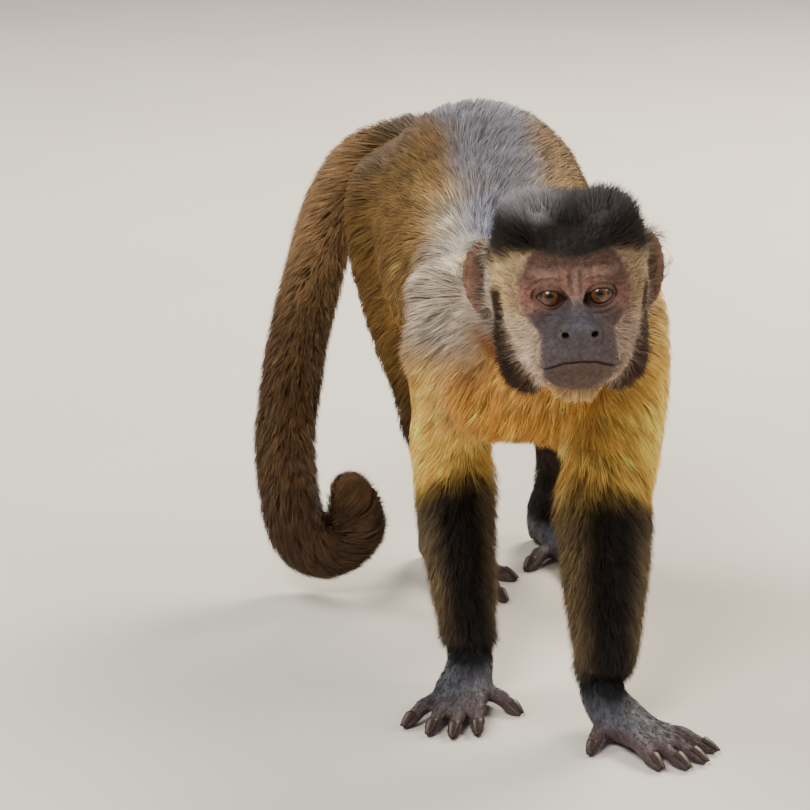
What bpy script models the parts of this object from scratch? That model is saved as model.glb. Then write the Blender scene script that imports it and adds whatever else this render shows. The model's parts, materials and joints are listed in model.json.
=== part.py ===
"""A life-size museum model of a tufted capuchin monkey, walking on all fours.

The animal is formed whole, from swept limbs and ellipsoids, and then parted with thin cuts where a
person would name its parts. Metres, +Z up. The animal faces -Y, its right side is at -X, and the
palms and soles stand on flats at z = 0. Every size includes the coat.
"""

import math

import bmesh
import bpy
import numpy as np
from mathutils import Matrix, Vector

MM = 0.001
GAP = 0.35 * MM  # what two neighbouring solids leave between them

# ---- driving sizes --------------------------------------------------------------------------
EYE_POINT = Vector((0.004, -0.235, 0.241))  # midway between the eyes, on the face
HEAD_TURN, HEAD_NOD, HEAD_LEAN = -3.5, 1.0, -2.3  # degrees: to its left, down, over to its right
EYE_APART = 12.8  # millimetres from the midline to an eye's centre, in the head's own frame
EYE_RADIUS = 8.2
EYE_DEPTH = 6.4

SPINE = (  # the middle's place, half width, half height
    (0.0010, -0.150, 0.2090, 0.0370, 0.0390),
    (0.0000, -0.130, 0.2010, 0.0540, 0.0520),
    (0.0005, -0.100, 0.1900, 0.0640, 0.0560),
    (0.0010, -0.055, 0.1880, 0.0650, 0.0580),
    (0.0025, 0.000, 0.1965, 0.0685, 0.0630),
    (0.0045, 0.060, 0.2110, 0.0680, 0.0670),
    (0.0050, 0.105, 0.2230, 0.0670, 0.0685),
    (0.0030, 0.132, 0.2230, 0.0580, 0.0595),
)

# Joints of each limb, with its radius there. "right" is the animal's own right, at -X.
ARM = {
    "right": (
        ((-0.042, -0.108, 0.212), 0.0310),
        ((-0.046, -0.110, 0.180), 0.0290),
        ((-0.043, -0.099, 0.140), 0.0260),
        ((-0.040, -0.100, 0.112), 0.0238),
        ((-0.0385, -0.122, 0.078), 0.0212),
        ((-0.0375, -0.142, 0.045), 0.0170),
        ((-0.037, -0.150, 0.024), 0.0132),
    ),
    "left": (
        ((0.046, -0.118, 0.210), 0.0315),
        ((0.048, -0.132, 0.176), 0.0300),
        ((0.042, -0.148, 0.138), 0.0285),
        ((0.036, -0.160, 0.114), 0.0268),
        ((0.031, -0.184, 0.080), 0.0240),
        ((0.0275, -0.208, 0.045), 0.0185),
        ((0.025, -0.217, 0.024), 0.0140),
    ),
}
LEG = {
    "right": (
        ((-0.036, 0.128, 0.222), 0.041),
        ((-0.037, 0.103, 0.190), 0.0375),
        ((-0.035, 0.073, 0.155), 0.0315),
        ((-0.031, 0.048, 0.122), 0.0245),
        ((-0.026, 0.062, 0.093), 0.0210),
        ((-0.021, 0.086, 0.062), 0.0160),
        ((-0.018, 0.103, 0.034), 0.0125),
    ),
    "left": (
        ((0.038, 0.130, 0.222), 0.041),
        ((0.043, 0.106, 0.190), 0.0375),
        ((0.048, 0.080, 0.156), 0.0315),
        ((0.052, 0.056, 0.124), 0.0245),
        ((0.053, 0.078, 0.096), 0.0210),
        ((0.055, 0.110, 0.064), 0.0160),
        ((0.056, 0.132, 0.034), 0.0125),
    ),
}
HAND_HEADING = {"right": -20.0, "left": 28.0}  # degrees from straight ahead, + to the animal's left
FOOT_HEADING = {"right": 6.0, "left": 12.0}

TAIL = (  # from the rump over to the animal's right, and down
    ((0.003, 0.140, 0.236), 0.0300),
    ((-0.006, 0.172, 0.246), 0.0265),
    ((-0.031, 0.194, 0.246), 0.0225),
    ((-0.0590, 0.194, 0.231), 0.0210),
    ((-0.0765, 0.178, 0.2035), 0.0207),
    ((-0.0895, 0.154, 0.172), 0.0204),
    ((-0.1015, 0.128, 0.140), 0.0205),
    ((-0.1090, 0.104, 0.112), 0.0206),
    ((-0.1145, 0.087, 0.085), 0.0202),
)
TAIL_HOOK = (  # on from there: round under and up again, the end standing in front of the shaft
    ((-0.1141, 0.0640, 0.0560), 0.0197),
    ((-0.1108, 0.0590, 0.0378), 0.0192),
    ((-0.1020, 0.0550, 0.0272), 0.0184),
    ((-0.0905, 0.0510, 0.0262), 0.0176),
    ((-0.0812, 0.0470, 0.0330), 0.0168),
    ((-0.0768, 0.0430, 0.0430), 0.0160),
    ((-0.0768, 0.0395, 0.0535), 0.0150),
    ((-0.0795, 0.0362, 0.0625), 0.0130),
    ((-0.0828, 0.0335, 0.0690), 0.0098),
)

CRUMB = (4 * MM) ** 3  # the smallest body that a cut may leave, in cubic metres
FLOOR_CUT = 1.3 * MM  # how much is cut off the pads of hands and feet, so that they stand on flats
BODY_VOXEL = 1.9 * MM
TRIANGLES = 3240  # of the whole outline, before it is parted
# Each shell follows its limb, a little outwards of it, to a share of the span past the elbow or knee.
SHELLS = (  # the limbs, what the shell adds to their radii at each joint, how far outwards, the share
    (ARM, (-0.003, 0.001, 0.003, 0.009, 0.010), 0.004, 0.15),
    (LEG, (-0.006, -0.002, 0.003, 0.012, 0.013), 0.006, 0.40),
)
LIMB_CUTS = {  # after which joint, at what share of the way to the next, normal, radius over the limb's
    "wrist": (ARM, 5, 0.62, (0.0, -0.25, -1.0), 1.90),
    "ankle": (LEG, 5, 0.55, (0.0, 0.30, -1.0), 1.75),
}
TAIL_CUTS = ((2, 0.5), (5, 0.0), (8, 0.5))  # after which joint, and at what share of the way to the next
TAIL_CUT_REACH = 1.9  # the radius of a cut across the tail, over the tail's
TRUNK_CUTS = {  # middle, normal and radius
    "nape": ((0.002, -0.152, 0.214), (0.0, -1.0, 0.42), 0.0800),
    "neck": ((0.0, -0.122, 0.203), (0.0, -1.0, 0.60), 0.1100),
    "waist": ((0.0, 0.000, 0.198), (0.0, 1.0, 0.12), 0.1000),
    "loin": ((0.0, 0.055, 0.213), (0.0, 1.0, -0.45), 0.1000),
}
COAT_COLOURS = {  # base colour and roughness of each kind of part
    "head": ((0.45, 0.33, 0.22), 0.85),
    "trunk": ((0.42, 0.30, 0.18), 0.90),
    "arm": ((0.52, 0.33, 0.13), 0.90),
    "dark": ((0.06, 0.045, 0.035), 0.90),
    "skin": ((0.20, 0.15, 0.15), 0.60),
    "ear": ((0.38, 0.26, 0.24), 0.65),
    "eye": ((0.22, 0.09, 0.03), 0.08),
}


# ---- shapes ---------------------------------------------------------------------------------
def clear_scene():
    """Removes every object of the startup scene."""
    for obj in list(bpy.data.objects):
        bpy.data.objects.remove(obj, do_unlink=True)


def new_object(name, bm):
    """An object of a bmesh, linked to the scene."""
    mesh = bpy.data.meshes.new(name)
    bm.to_mesh(mesh)
    bm.free()
    obj = bpy.data.objects.new(name, mesh)
    bpy.context.collection.objects.link(obj)
    return obj


def ellipsoid(name, centre, radii, segments=16):
    """A closed ellipsoid with the given half axes."""
    bm = bmesh.new()
    bmesh.ops.create_uvsphere(bm, u_segments=segments, v_segments=segments // 2, radius=1.0)
    bm.transform(Matrix.Translation(centre) @ Matrix.Diagonal((*radii, 1.0)))
    return new_object(name, bm)


def along(values, count):
    """Catmull-Rom samples through rows of numbers, count to a span."""
    rows = np.array(values, float)
    padded = np.vstack([2 * rows[0] - rows[1], rows, 2 * rows[-1] - rows[-2]])
    made = []
    for i in range(len(rows) - 1):
        a, b, c, d = padded[i : i + 4]
        for t in np.arange(count) / count:
            made.append(
                0.5 * (2 * b + (c - a) * t + (2 * a - 5 * b + 4 * c - d) * t**2
                       + (3 * b - a - 3 * c + d) * t**3)
            )
    return np.array([*made, rows[-1]])


def sweep(name, stations, side=(1.0, 0.0, 0.0), per_span=4, sides=18, flat_end=False):
    """A closed tube through stations of (x, y, z, half width, half height), its ends round or flat."""
    rows = along(stations, per_span)
    centres = [Vector(row[:3]) for row in rows]
    bm = bmesh.new()
    rings = []
    last = len(rows) - 1

    def ring(centre, tangent, wide, high):
        across = (Vector(side) - tangent * Vector(side).dot(tangent)).normalized()
        up = tangent.cross(across)
        turns = [2 * math.pi * k / sides for k in range(sides)]
        return [
            bm.verts.new(centre + across * math.cos(t) * wide + up * math.sin(t) * high)
            for t in turns
        ]

    def cap(end, tangent, order):
        wide, high = rows[end][3:]
        for t in order:
            shift = tangent * math.sin(t) * min(wide, high)
            rings.append(ring(centres[end] + shift, tangent, wide * math.cos(t), high * math.cos(t)))

    tangents = [
        (centres[min(i + 1, last)] - centres[max(i - 1, 0)]).normalized() for i in range(last + 1)
    ]
    round_off = [math.radians(a) for a in (25, 50, 72, 86)]
    cap(0, tangents[0], [-t for t in reversed(round_off)])
    for centre, tangent, row in zip(centres, tangents, rows):
        rings.append(ring(centre, tangent, row[3], row[4]))
    if not flat_end:
        cap(last, tangents[last], round_off)
    for first, second in zip(rings, rings[1:]):
        for k in range(sides):
            after = (k + 1) % sides
            bm.faces.new((first[k], first[after], second[after], second[k]))
    bm.faces.new(list(reversed(rings[0])))
    bm.faces.new(rings[-1])
    bmesh.ops.recalc_face_normals(bm, faces=bm.faces)
    return new_object(name, bm)


def round_stations(joints):
    """Stations of a round limb from its joints and radii."""
    return [(*point, radius, radius) for point, radius in joints]


# ---- head -----------------------------------------------------------------------------------
def head_matrix():
    """From millimetres in the head's own frame to the world: x to its left, y back, z up."""
    turn = Matrix.Rotation(math.radians(HEAD_TURN), 4, "Z")
    nod = Matrix.Rotation(math.radians(HEAD_NOD), 4, "X")
    lean = Matrix.Rotation(math.radians(HEAD_LEAN), 4, "Y")
    return Matrix.Translation(EYE_POINT) @ turn @ nod @ lean @ Matrix.Scale(MM, 4)


HEAD_FORMS = (  # middle and half axes, in millimetres in the head's frame
    ("braincase", (0, 44, 8), (37, 45, 38)),
    ("cap", (0, 34, 25.5), (38, 37, 26)),
    ("forehead", (0, 17, 17), (32, 18, 22)),
    ("face", (0, 16, -8), (34, 16, 28)),
    ("muzzle", (0, -2, -27), (20, 20, 16)),
    ("bridge", (0, 4, -9), (12, 15, 15)),
    ("nose", (0, -12, -15), (9.5, 9, 7)),
    ("chin", (0, 1, -41), (17.5, 18, 12)),
    ("throat", (0, 34, -24), (31, 30, 26)),
)
PAIRED_HEAD_FORMS = (
    ("cap_corner", (27, 25, 37), (12.5, 17, 13.5)),
    ("temple", (27, 32, 2), (14, 28, 28)),
    ("cheek", (24, 24, -17), (15, 23, 23)),
    ("lip", (11, 0, -28), (14, 16, 14)),
    ("jaw", (17, 13, -33), (15, 21, 15)),
    ("brow", (13, 8, 12), (15, 8, 7)),
    ("cheekbone", (21, 10, -10), (12, 9, 9)),
    ("ear", (44.5, 46, 2), (11.5, 6, 20.5)),
)
EAR_HOLLOW = ((45.5, 37.5, 2), (7, 6.5, 14.5))
EAR_OUT_TURN = 34.0  # degrees that an ear's rim is turned back
EAR_CUT = ((41.0, 51.0, 3.0), (1.0, 0.05, 0.0), 0.0275)  # millimetres; the cut's radius in metres


def head_forms():
    """The ellipsoids of the head and ears, in the world."""
    place = head_matrix()
    made = []
    for name, centre, radii in HEAD_FORMS:
        made.append(ellipsoid(name, (0, 0, 0), radii, segments=24))
        made[-1].data.transform(place @ Matrix.Translation(centre))
    for side, sign in (("left", 1), ("right", -1)):
        for name, centre, radii in PAIRED_HEAD_FORMS:
            obj = ellipsoid(f"{name}_{side}", (0, 0, 0), radii, segments=24)
            obj.data.transform(place @ paired_place(name, centre, sign))
            made.append(obj)
    return made


def paired_place(name, centre, sign):
    """Where a paired form of the head goes, and how it is turned."""
    opens = EAR_OUT_TURN if name == "ear" else 0.0
    turn = Matrix.Rotation(math.radians(sign * opens), 4, "Z")
    return Matrix.Translation((sign * centre[0], centre[1], centre[2])) @ turn


# ---- trunk, limbs and tail ------------------------------------------------------------------
def trunk_form():
    """The trunk from the neck to the rump, as one sweep."""
    return sweep("trunk", SPINE, per_span=3, sides=28)


def neck_form():
    """The thick neck, from inside the head to between the shoulders."""
    return sweep("neck", (
        (0.004, -0.182, 0.232, 0.0330, 0.0350),
        (0.004, -0.155, 0.218, 0.0390, 0.0440),
        (0.000, -0.125, 0.200, 0.0540, 0.0520),
    ))


def chest_form():
    """The long hair of the chest, hanging between and over the upper arms."""
    return ellipsoid("chest_ruff", (0.001, -0.128, 0.176), (0.0640, 0.0370, 0.0420), segments=32)


def tail_joints():
    """The tail's joints: down its shaft, and on round the hook at its end."""
    return list(TAIL + TAIL_HOOK)


# ---- hands and feet -------------------------------------------------------------------------
def ground_frame(point, heading):
    """A frame on the floor under a point, with +Y back along a limb's heading."""
    flat = Matrix.Translation((point[0], point[1], 0.0))
    return flat @ Matrix.Rotation(math.radians(heading), 4, "Z")


def digit(name, frame, base, heading, length, radius, lift):
    """One finger or toe: from its knuckle, arched a little, to a tip that rests on the floor."""
    course = Vector((math.sin(math.radians(heading)), -math.cos(math.radians(heading)), 0.0))
    tip_height = radius * 0.74
    shape = (  # share of the length, height of the middle, share of the radius
        (0.0, lift, 1.06),
        (0.42, lift * 0.98, 0.98),
        (0.74, lift * 0.62, 0.90),
        (1.0, tip_height, 0.74),
    )
    stations = []
    for share, height, thick in shape:
        centre = frame @ (Vector(base) + course * length * share + Vector((0, 0, height)))
        stations.append((*centre, radius * thick, radius * thick))
    side = frame.to_3x3() @ Vector((math.cos(math.radians(heading)), math.sin(math.radians(heading)), 0.0))
    return sweep(name, stations, side=side, per_span=3, sides=12)


def hand_forms(side):
    """Palm, heel, four fingers and thumb of one hand."""
    inner = 1 if side == "right" else -1  # towards the animal's midline, along the frame's X
    wrist = ARM[side][-1][0]
    frame = ground_frame(wrist, HAND_HEADING[side])
    made = [
        sweep(f"palm_{side}", [
            (*(frame @ Vector(centre)), wide, high)
            for centre, wide, high in (
                ((0.0, 0.004, 0.0200), 0.0135, 0.0115),
                ((0.0, -0.008, 0.0125), 0.0150, 0.0115),
                ((0.0, -0.022, 0.0090), 0.0160, 0.0090),
                ((0.0, -0.035, 0.0085), 0.0150, 0.0072),
            )
        ], side=frame.to_3x3() @ Vector((1, 0, 0)), per_span=3),
    ]
    fingers = (  # across the knuckles from the thumb's side, heading, length
        ("index", 0.0108, 11.0, 0.035),
        ("middle", 0.0037, 3.0, 0.040),
        ("ring", -0.0037, -5.0, 0.038),
        ("little", -0.0104, -20.0, 0.032),
    )
    for name, across, heading, length in fingers:
        base = (inner * across, -0.036 + abs(across) * 0.25, 0.0)
        made.append(digit(f"{name}_{side}", frame, base, inner * heading, length, 0.0046, 0.0088))
    base = (inner * 0.0120, -0.012, 0.0)
    return [*made, digit(f"thumb_{side}", frame, base, inner * 52.0, 0.026, 0.0048, 0.0080)]


def foot_forms(side):
    """Heel, sole, four toes and the big toe, which stands apart like a thumb."""
    inner = 1 if side == "right" else -1
    ankle = LEG[side][-1][0]
    frame = ground_frame(ankle, FOOT_HEADING[side])
    made = [
        sweep(f"sole_{side}", [
            (*(frame @ Vector(centre)), wide, high)
            for centre, wide, high in (
                ((0.0, 0.017, 0.0115), 0.0105, 0.0115),
                ((0.0, 0.004, 0.0150), 0.0125, 0.0150),
                ((0.0, -0.016, 0.0120), 0.0140, 0.0120),
                ((0.0, -0.040, 0.0090), 0.0150, 0.0090),
                ((0.0, -0.060, 0.0080), 0.0150, 0.0070),
            )
        ], side=frame.to_3x3() @ Vector((1, 0, 0)), per_span=3),
    ]
    toes = (
        ("second", 0.0106, 12.0, 0.032),
        ("third", 0.0037, 4.0, 0.036),
        ("fourth", -0.0037, -4.0, 0.035),
        ("fifth", -0.0104, -14.0, 0.030),
    )
    for name, across, heading, length in toes:
        base = (inner * across, -0.060 + abs(across) * 0.3, 0.0)
        made.append(digit(f"toe_{name}_{side}", frame, base, inner * heading, length, 0.0045, 0.0080))
    base = (inner * 0.0110, -0.026, 0.0)
    return [*made, digit(f"toe_big_{side}", frame, base, inner * 48.0, 0.031, 0.0056, 0.0080)]


# ---- from forms to one skin-tight outline ---------------------------------------------------
def joined(name, objects):
    """One mesh object that holds the faces of many, which are removed."""
    bm = bmesh.new()
    for obj in objects:
        bm.from_mesh(obj.data)
        bpy.data.objects.remove(obj, do_unlink=True)
    return new_object(name, bm)


def applied(obj, name):
    """A plain mesh object of what the object's modifiers make, which replaces it."""
    graph = bpy.context.evaluated_depsgraph_get()
    mesh = bpy.data.meshes.new_from_object(obj.evaluated_get(graph))
    bpy.data.objects.remove(obj, do_unlink=True)
    made = bpy.data.objects.new(name, mesh)
    bpy.context.collection.objects.link(made)
    return made


def blend_amount(points):
    """How much each point is smoothed: the body well, the face a little, hands and feet hardly."""
    head = head_matrix().inverted()
    local = points @ np.array(head.to_3x3()).T + np.array(head.translation)
    face = np.clip((14.0 - local[:, 1]) / 12.0, 0, 1) * (np.linalg.norm(local, axis=1) < 75.0)
    low = np.clip((0.030 - points[:, 2]) / 0.012, 0, 1) * (points[:, 0] > -0.075)
    ear = np.clip((np.abs(local[:, 0]) - 36.0) / 4.0, 0, 1) * (np.linalg.norm(local, axis=1) < 90.0)
    return np.clip(1.0 - 0.6 * face - 0.95 * low - 0.8 * ear, 0.05, 1.0)


def outline(forms):
    """One closed mesh over all the forms, blended where they meet and thinned to few triangles."""
    body = joined("outline", forms)
    remesh = body.modifiers.new("remesh", "REMESH")
    remesh.mode = "VOXEL"
    remesh.voxel_size = BODY_VOXEL
    remesh.adaptivity = 0.0
    body = applied(body, "outline")
    points = np.empty(len(body.data.vertices) * 3)
    body.data.vertices.foreach_get("co", points)
    group = body.vertex_groups.new(name="blend")
    for index, weight in enumerate(blend_amount(points.reshape(-1, 3))):
        group.add([index], float(weight), "REPLACE")
    smooth = body.modifiers.new("smooth", "SMOOTH")
    smooth.factor = 0.6
    smooth.iterations = 24
    smooth.vertex_group = "blend"
    thin = body.modifiers.new("thin", "DECIMATE")
    thin.ratio = TRIANGLES / (2 * len(body.data.polygons))
    thin.use_collapse_triangulate = True
    return applied(body, "outline")


# ---- parting --------------------------------------------------------------------------------
def disc(name, point, normal, radius):
    """A thin round cutter across a limb."""
    bm = bmesh.new()
    bmesh.ops.create_cone(
        bm, cap_ends=True, segments=16, radius1=radius, radius2=radius, depth=GAP
    )
    turn = Vector((0, 0, 1)).rotation_difference(Vector(normal)).to_matrix().to_4x4()
    bm.transform(Matrix.Translation(point) @ turn)
    return new_object(name, bm)


def shell(name, joints):
    """A thin closed skin round a limb, which frees the limb from the trunk that it grows from."""
    obj = sweep(name, round_stations(joints), per_span=1, sides=10, flat_end=True)
    bm = bmesh.new()
    bm.from_mesh(obj.data)
    bmesh.ops.triangulate(bm, faces=bm.faces)  # so that both sides of the skin bend along the same edges
    bm.normal_update()
    outer = {vert: bm.verts.new(vert.co + vert.normal * GAP) for vert in list(bm.verts)}
    for face in list(bm.faces):
        bm.faces.new([outer[vert] for vert in face.verts])
        face.normal_flip()
    bpy.data.objects.remove(obj, do_unlink=True)
    return new_object(name, bm)


def between(joints, index, share=0.5):
    """A point between two joints of a limb, the direction there and the radius."""
    (start, r1), (end, r2) = joints[index], joints[index + 1]
    start, end = Vector(start), Vector(end)
    return start.lerp(end, share), (end - start).normalized(), r1 + (r2 - r1) * share


def limb_shells():
    """The shells that free the arms and legs, down to just below the elbows and knees."""
    made = []
    for limbs, swells, outwards, past in SHELLS:
        for side, sign in (("right", -1), ("left", 1)):
            point, _, radius = between(limbs[side], 3, past)
            joints = [
                (tuple(Vector(at) + Vector((sign * outwards, 0, 0))), thick + swell)
                for (at, thick), swell in zip([*limbs[side][:4], (point, radius)], swells)
            ]
            made.append(shell(f"cut_{len(made)}", joints))
    return made


def end_discs():
    """The cuts across wrists, ankles and tail."""
    made = []
    for side in ("right", "left"):
        for name, (limbs, index, share, normal, reach) in LIMB_CUTS.items():
            point, _, radius = between(limbs[side], index, share)
            made.append(disc(f"cut_{name}_{side}", point, normal, radius * reach))
    joints = tail_joints()
    for index, share in TAIL_CUTS:
        point, course, radius = between(joints, index, share)
        made.append(disc(f"cut_tail_{index}", point, course, radius * TAIL_CUT_REACH))
    return made


def trunk_discs():
    """The cuts across the trunk and neck, and behind the ears."""
    place = head_matrix()
    made = []
    (across, back, up), (out, aft, rise), radius = EAR_CUT
    for side, sign in (("right", -1), ("left", 1)):
        point = place @ Vector((sign * across, back, up))
        normal = place.to_3x3() @ Vector((sign * out, aft, rise))
        made.append(disc(f"cut_ear_{side}", point, normal, radius))
    for name, (point, normal, radius) in TRUNK_CUTS.items():
        made.append(disc(f"cut_{name}", Vector(point), normal, radius))
    return made


def floor_cutter():
    """A block whose top is the floor."""
    bm = bmesh.new()
    bmesh.ops.create_cube(bm, size=1.0)
    bm.transform(Matrix.Translation((0, 0, FLOOR_CUT - 0.5)))
    return new_object("cut_floor", bm)


def head_hollows():
    """The eye sockets and the hollows of the ears."""
    place = head_matrix()
    made = []
    for side, sign in (("right", -1), ("left", 1)):
        socket = ellipsoid(f"cut_eye_{side}", (0, 0, 0), [EYE_RADIUS + GAP / MM] * 3)
        socket.data.transform(place @ Matrix.Translation((sign * EYE_APART, EYE_DEPTH, 0)))
        centre, radii = EAR_HOLLOW
        hollow = ellipsoid(f"cut_concha_{side}", (0, 0, 0), radii, segments=12)
        hollow.data.transform(place @ paired_place("ear", centre, sign))
        made += [socket, hollow]
    return made


def cut_away(obj, cutter_list, solver="EXACT"):
    """The object with every cutter taken from it, one after another."""
    for cutter in cutter_list:
        cutter.hide_render = True
        cutter.display_type = "WIRE"
        cut = obj.modifiers.new(cutter.name, "BOOLEAN")
        cut.operation = "DIFFERENCE"
        cut.solver = solver
        cut.object = cutter
        obj = applied(obj, obj.name)
        bpy.data.objects.remove(cutter, do_unlink=True)
    return obj


def drop_folds(bm):
    """Deletes pairs of triangles on the same three points, which a cut can leave back to back."""
    seen = {}
    folds = []
    for face in bm.faces:
        key = frozenset(face.verts)
        if key in seen:
            folds += [face, seen[key]]
        seen[key] = face
    bmesh.ops.delete(bm, geom=folds, context="FACES")


def split(obj, cutter_list):
    """The closed bodies that the cutters leave of an object, without the cuts' crumbs."""
    obj = cut_away(obj, cutter_list, solver="MANIFOLD")  # EXACT drops the trunk at the neck's cut
    source = bmesh.new()
    source.from_mesh(obj.data)
    made = []
    while source.faces:
        source.faces.ensure_lookup_table()
        front = [source.faces[0]]
        body = set(front)
        while front:
            near = {other for edge in front.pop().edges for other in edge.link_faces} - body
            body |= near
            front += near
        bm = bmesh.new()
        verts = {vert: bm.verts.new(vert.co) for vert in {vert for face in body for vert in face.verts}}
        for face in body:
            bm.faces.new([verts[vert] for vert in face.verts])
        bm.normal_update()
        bmesh.ops.triangulate(bm, faces=bm.faces)
        drop_folds(bm)
        if bm.calc_volume() > CRUMB:
            made.append(new_object(f"{obj.name}_{len(made)}", bm))
        else:
            bm.free()
        bmesh.ops.delete(source, geom=list(body), context="FACES")
    source.free()
    bpy.data.objects.remove(obj, do_unlink=True)
    return made


def part_names():
    """A point inside each part, by which it is named."""
    place = head_matrix()
    joints = tail_joints()
    points = {
        "head": place @ Vector((0, 30, 0)),
        "neck": Vector((0.001, -0.140, 0.209)),
        "chest": Vector((0.0, -0.070, 0.188)),
        "abdomen": Vector((0.0, 0.036, 0.205)),
        "rump": Vector((0.0, 0.120, 0.224)),
        "tail_root": Vector(joints[4][0]),
        "tail_middle": Vector(joints[7][0]),
        "tail_curl": Vector(joints[13][0]),
    }
    for side, sign in (("right", -1), ("left", 1)):
        arm, leg = ARM[side], LEG[side]
        points[f"ear_{side}"] = place @ Vector((sign * 47, 46, 3))
        points[f"upper_arm_{side}"] = Vector(arm[2][0])
        points[f"forearm_{side}"] = Vector(arm[4][0])
        points[f"hand_{side}"] = Vector((*arm[6][0][:2], 0.010)) + Vector((0, -0.030, 0))
        points[f"thigh_{side}"] = Vector(leg[2][0])
        points[f"shank_{side}"] = Vector(leg[4][0])
        points[f"foot_{side}"] = Vector((*leg[6][0][:2], 0.012)) + Vector((0, -0.030, 0))
    return points


def material(kind):
    """The finish of one kind of part."""
    colour, roughness = COAT_COLOURS[kind]
    made = bpy.data.materials.get(kind) or bpy.data.materials.new(kind)
    made.use_nodes = True
    shader = made.node_tree.nodes["Principled BSDF"]
    shader.inputs["Base Color"].default_value = (*colour, 1.0)
    shader.inputs["Roughness"].default_value = roughness
    shader.inputs["Metallic"].default_value = 0.0
    return made


def kind_of(name):
    """The finish that a part takes."""
    if name.startswith(("hand", "foot")):
        return "skin"
    if name.startswith(("forearm", "shank", "tail")):
        return "dark"
    if name.startswith(("ear", "eye")):
        return name.split("_")[0]
    if name.startswith(("upper_arm", "thigh")):
        return "arm"
    return "head" if name == "head" else "trunk"


def middle_of(obj):
    """The mean of an object's points."""
    return sum((vert.co for vert in obj.data.vertices), Vector()) / len(obj.data.vertices)


def parted(body):
    """Frees the limbs, cuts the trunk and the ends of the limbs, and names every part."""
    pieces = split(body, limb_shells())
    trunk = max(pieces, key=lambda piece: len(piece.data.polygons))
    pieces.remove(trunk)
    pieces = [part for piece in pieces for part in split(piece, end_discs())]
    pieces += split(trunk, [*trunk_discs(), *end_discs()])
    names = part_names()
    for piece in pieces:
        middle = middle_of(piece)
        piece.name = min(names, key=lambda name: (names[name] - middle).length)
        del names[piece.name]
    return pieces


def eyes():
    """The two eyeballs, whole, in their sockets."""
    place = head_matrix()
    made = []
    for side, sign in (("right", -1), ("left", 1)):
        ball = ellipsoid(f"eye_{side}", (0, 0, 0), [EYE_RADIUS] * 3, segments=14)
        ball.data.transform(place @ Matrix.Translation((sign * EYE_APART, EYE_DEPTH, 0)))
        made.append(ball)
    return made


def centre_on_floor(objects):
    """Moves every mesh so that the origin is under the middle of the whole, on the floor."""
    corners = np.array([vert.co for obj in objects for vert in obj.data.vertices])
    low, high = corners.min(axis=0), corners.max(axis=0)
    shift = Matrix.Translation((-(low[0] + high[0]) / 2, -(low[1] + high[1]) / 2, -low[2]))
    for obj in objects:
        obj.data.transform(shift)


def main():
    """Builds every part of the monkey."""
    clear_scene()
    forms = [trunk_form(), neck_form(), chest_form(), *head_forms()]
    for side in ("right", "left"):
        forms.append(sweep(f"arm_{side}", round_stations(ARM[side])))
        forms.append(sweep(f"leg_{side}", round_stations(LEG[side])))
        forms += hand_forms(side) + foot_forms(side)
    forms.append(sweep("tail", round_stations(tail_joints()), side=(0.0, 1.0, 0.0)))
    body = cut_away(outline(forms), [floor_cutter(), *head_hollows()])
    parts = parted(body) + eyes()
    centre_on_floor(parts)
    for part in parts:
        part.data.materials.append(material(kind_of(part.name)))
        if part.name.startswith("eye"):
            part.data.shade_smooth()


main()
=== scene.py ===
"""Looks of a life-size museum model of a tufted capuchin monkey, walking on all fours.

The CAD solids reach out to the tips of the coat. Here one skin lies inside them by the coat's depth, and
tufts of hair stand on it, follow the lie of the coat and end where the solids do. Metres, +Z up; the
animal faces -Y and its own left is at +X.
"""

import heapq
import json
import logging
import math
from dataclasses import dataclass, field
from enum import Enum

import bmesh
import bpy
import numpy as np
from bpy.types import ID, Material, Mesh, Node, NodeSocket, NodeTree, Object
from mathutils import Matrix, Vector
from mathutils.kdtree import KDTree

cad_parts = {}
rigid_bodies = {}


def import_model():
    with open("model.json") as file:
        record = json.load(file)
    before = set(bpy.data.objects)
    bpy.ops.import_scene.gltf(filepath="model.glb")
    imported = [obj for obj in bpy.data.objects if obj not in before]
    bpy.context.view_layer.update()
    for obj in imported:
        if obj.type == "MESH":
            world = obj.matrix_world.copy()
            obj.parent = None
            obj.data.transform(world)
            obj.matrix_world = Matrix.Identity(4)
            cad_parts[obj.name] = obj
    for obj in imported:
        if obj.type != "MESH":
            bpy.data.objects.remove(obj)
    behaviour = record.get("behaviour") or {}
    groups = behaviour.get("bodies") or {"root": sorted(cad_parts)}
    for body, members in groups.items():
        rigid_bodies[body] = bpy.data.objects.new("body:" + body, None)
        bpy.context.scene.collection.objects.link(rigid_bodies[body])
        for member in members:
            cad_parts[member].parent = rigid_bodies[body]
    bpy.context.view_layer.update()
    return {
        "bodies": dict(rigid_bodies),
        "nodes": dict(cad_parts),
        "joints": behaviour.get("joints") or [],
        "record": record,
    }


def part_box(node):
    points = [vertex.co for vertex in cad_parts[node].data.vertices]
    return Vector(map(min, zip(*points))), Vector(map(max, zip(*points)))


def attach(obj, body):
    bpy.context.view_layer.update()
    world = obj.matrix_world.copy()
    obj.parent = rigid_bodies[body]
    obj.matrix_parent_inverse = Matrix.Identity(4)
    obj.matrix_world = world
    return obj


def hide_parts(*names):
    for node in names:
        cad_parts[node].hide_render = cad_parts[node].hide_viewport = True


Array = np.ndarray
LOG = logging.getLogger("capuchin")
MM = 0.001


class Side(Enum):
    """A side of the animal, as a sign along X."""

    LEFT = 1
    RIGHT = -1

    @property
    def word(self) -> str:
        """The side as the CAD nodes name it."""
        return self.name.lower()


# ---- numbers ----
def ease(low: float, high: float, values: Array) -> Array:
    """0 below low, 1 above high, and smooth between; low may be above high."""
    share = np.clip((values - low) / (high - low), 0.0, 1.0)
    return share * share * (3.0 - 2.0 * share)


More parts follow.
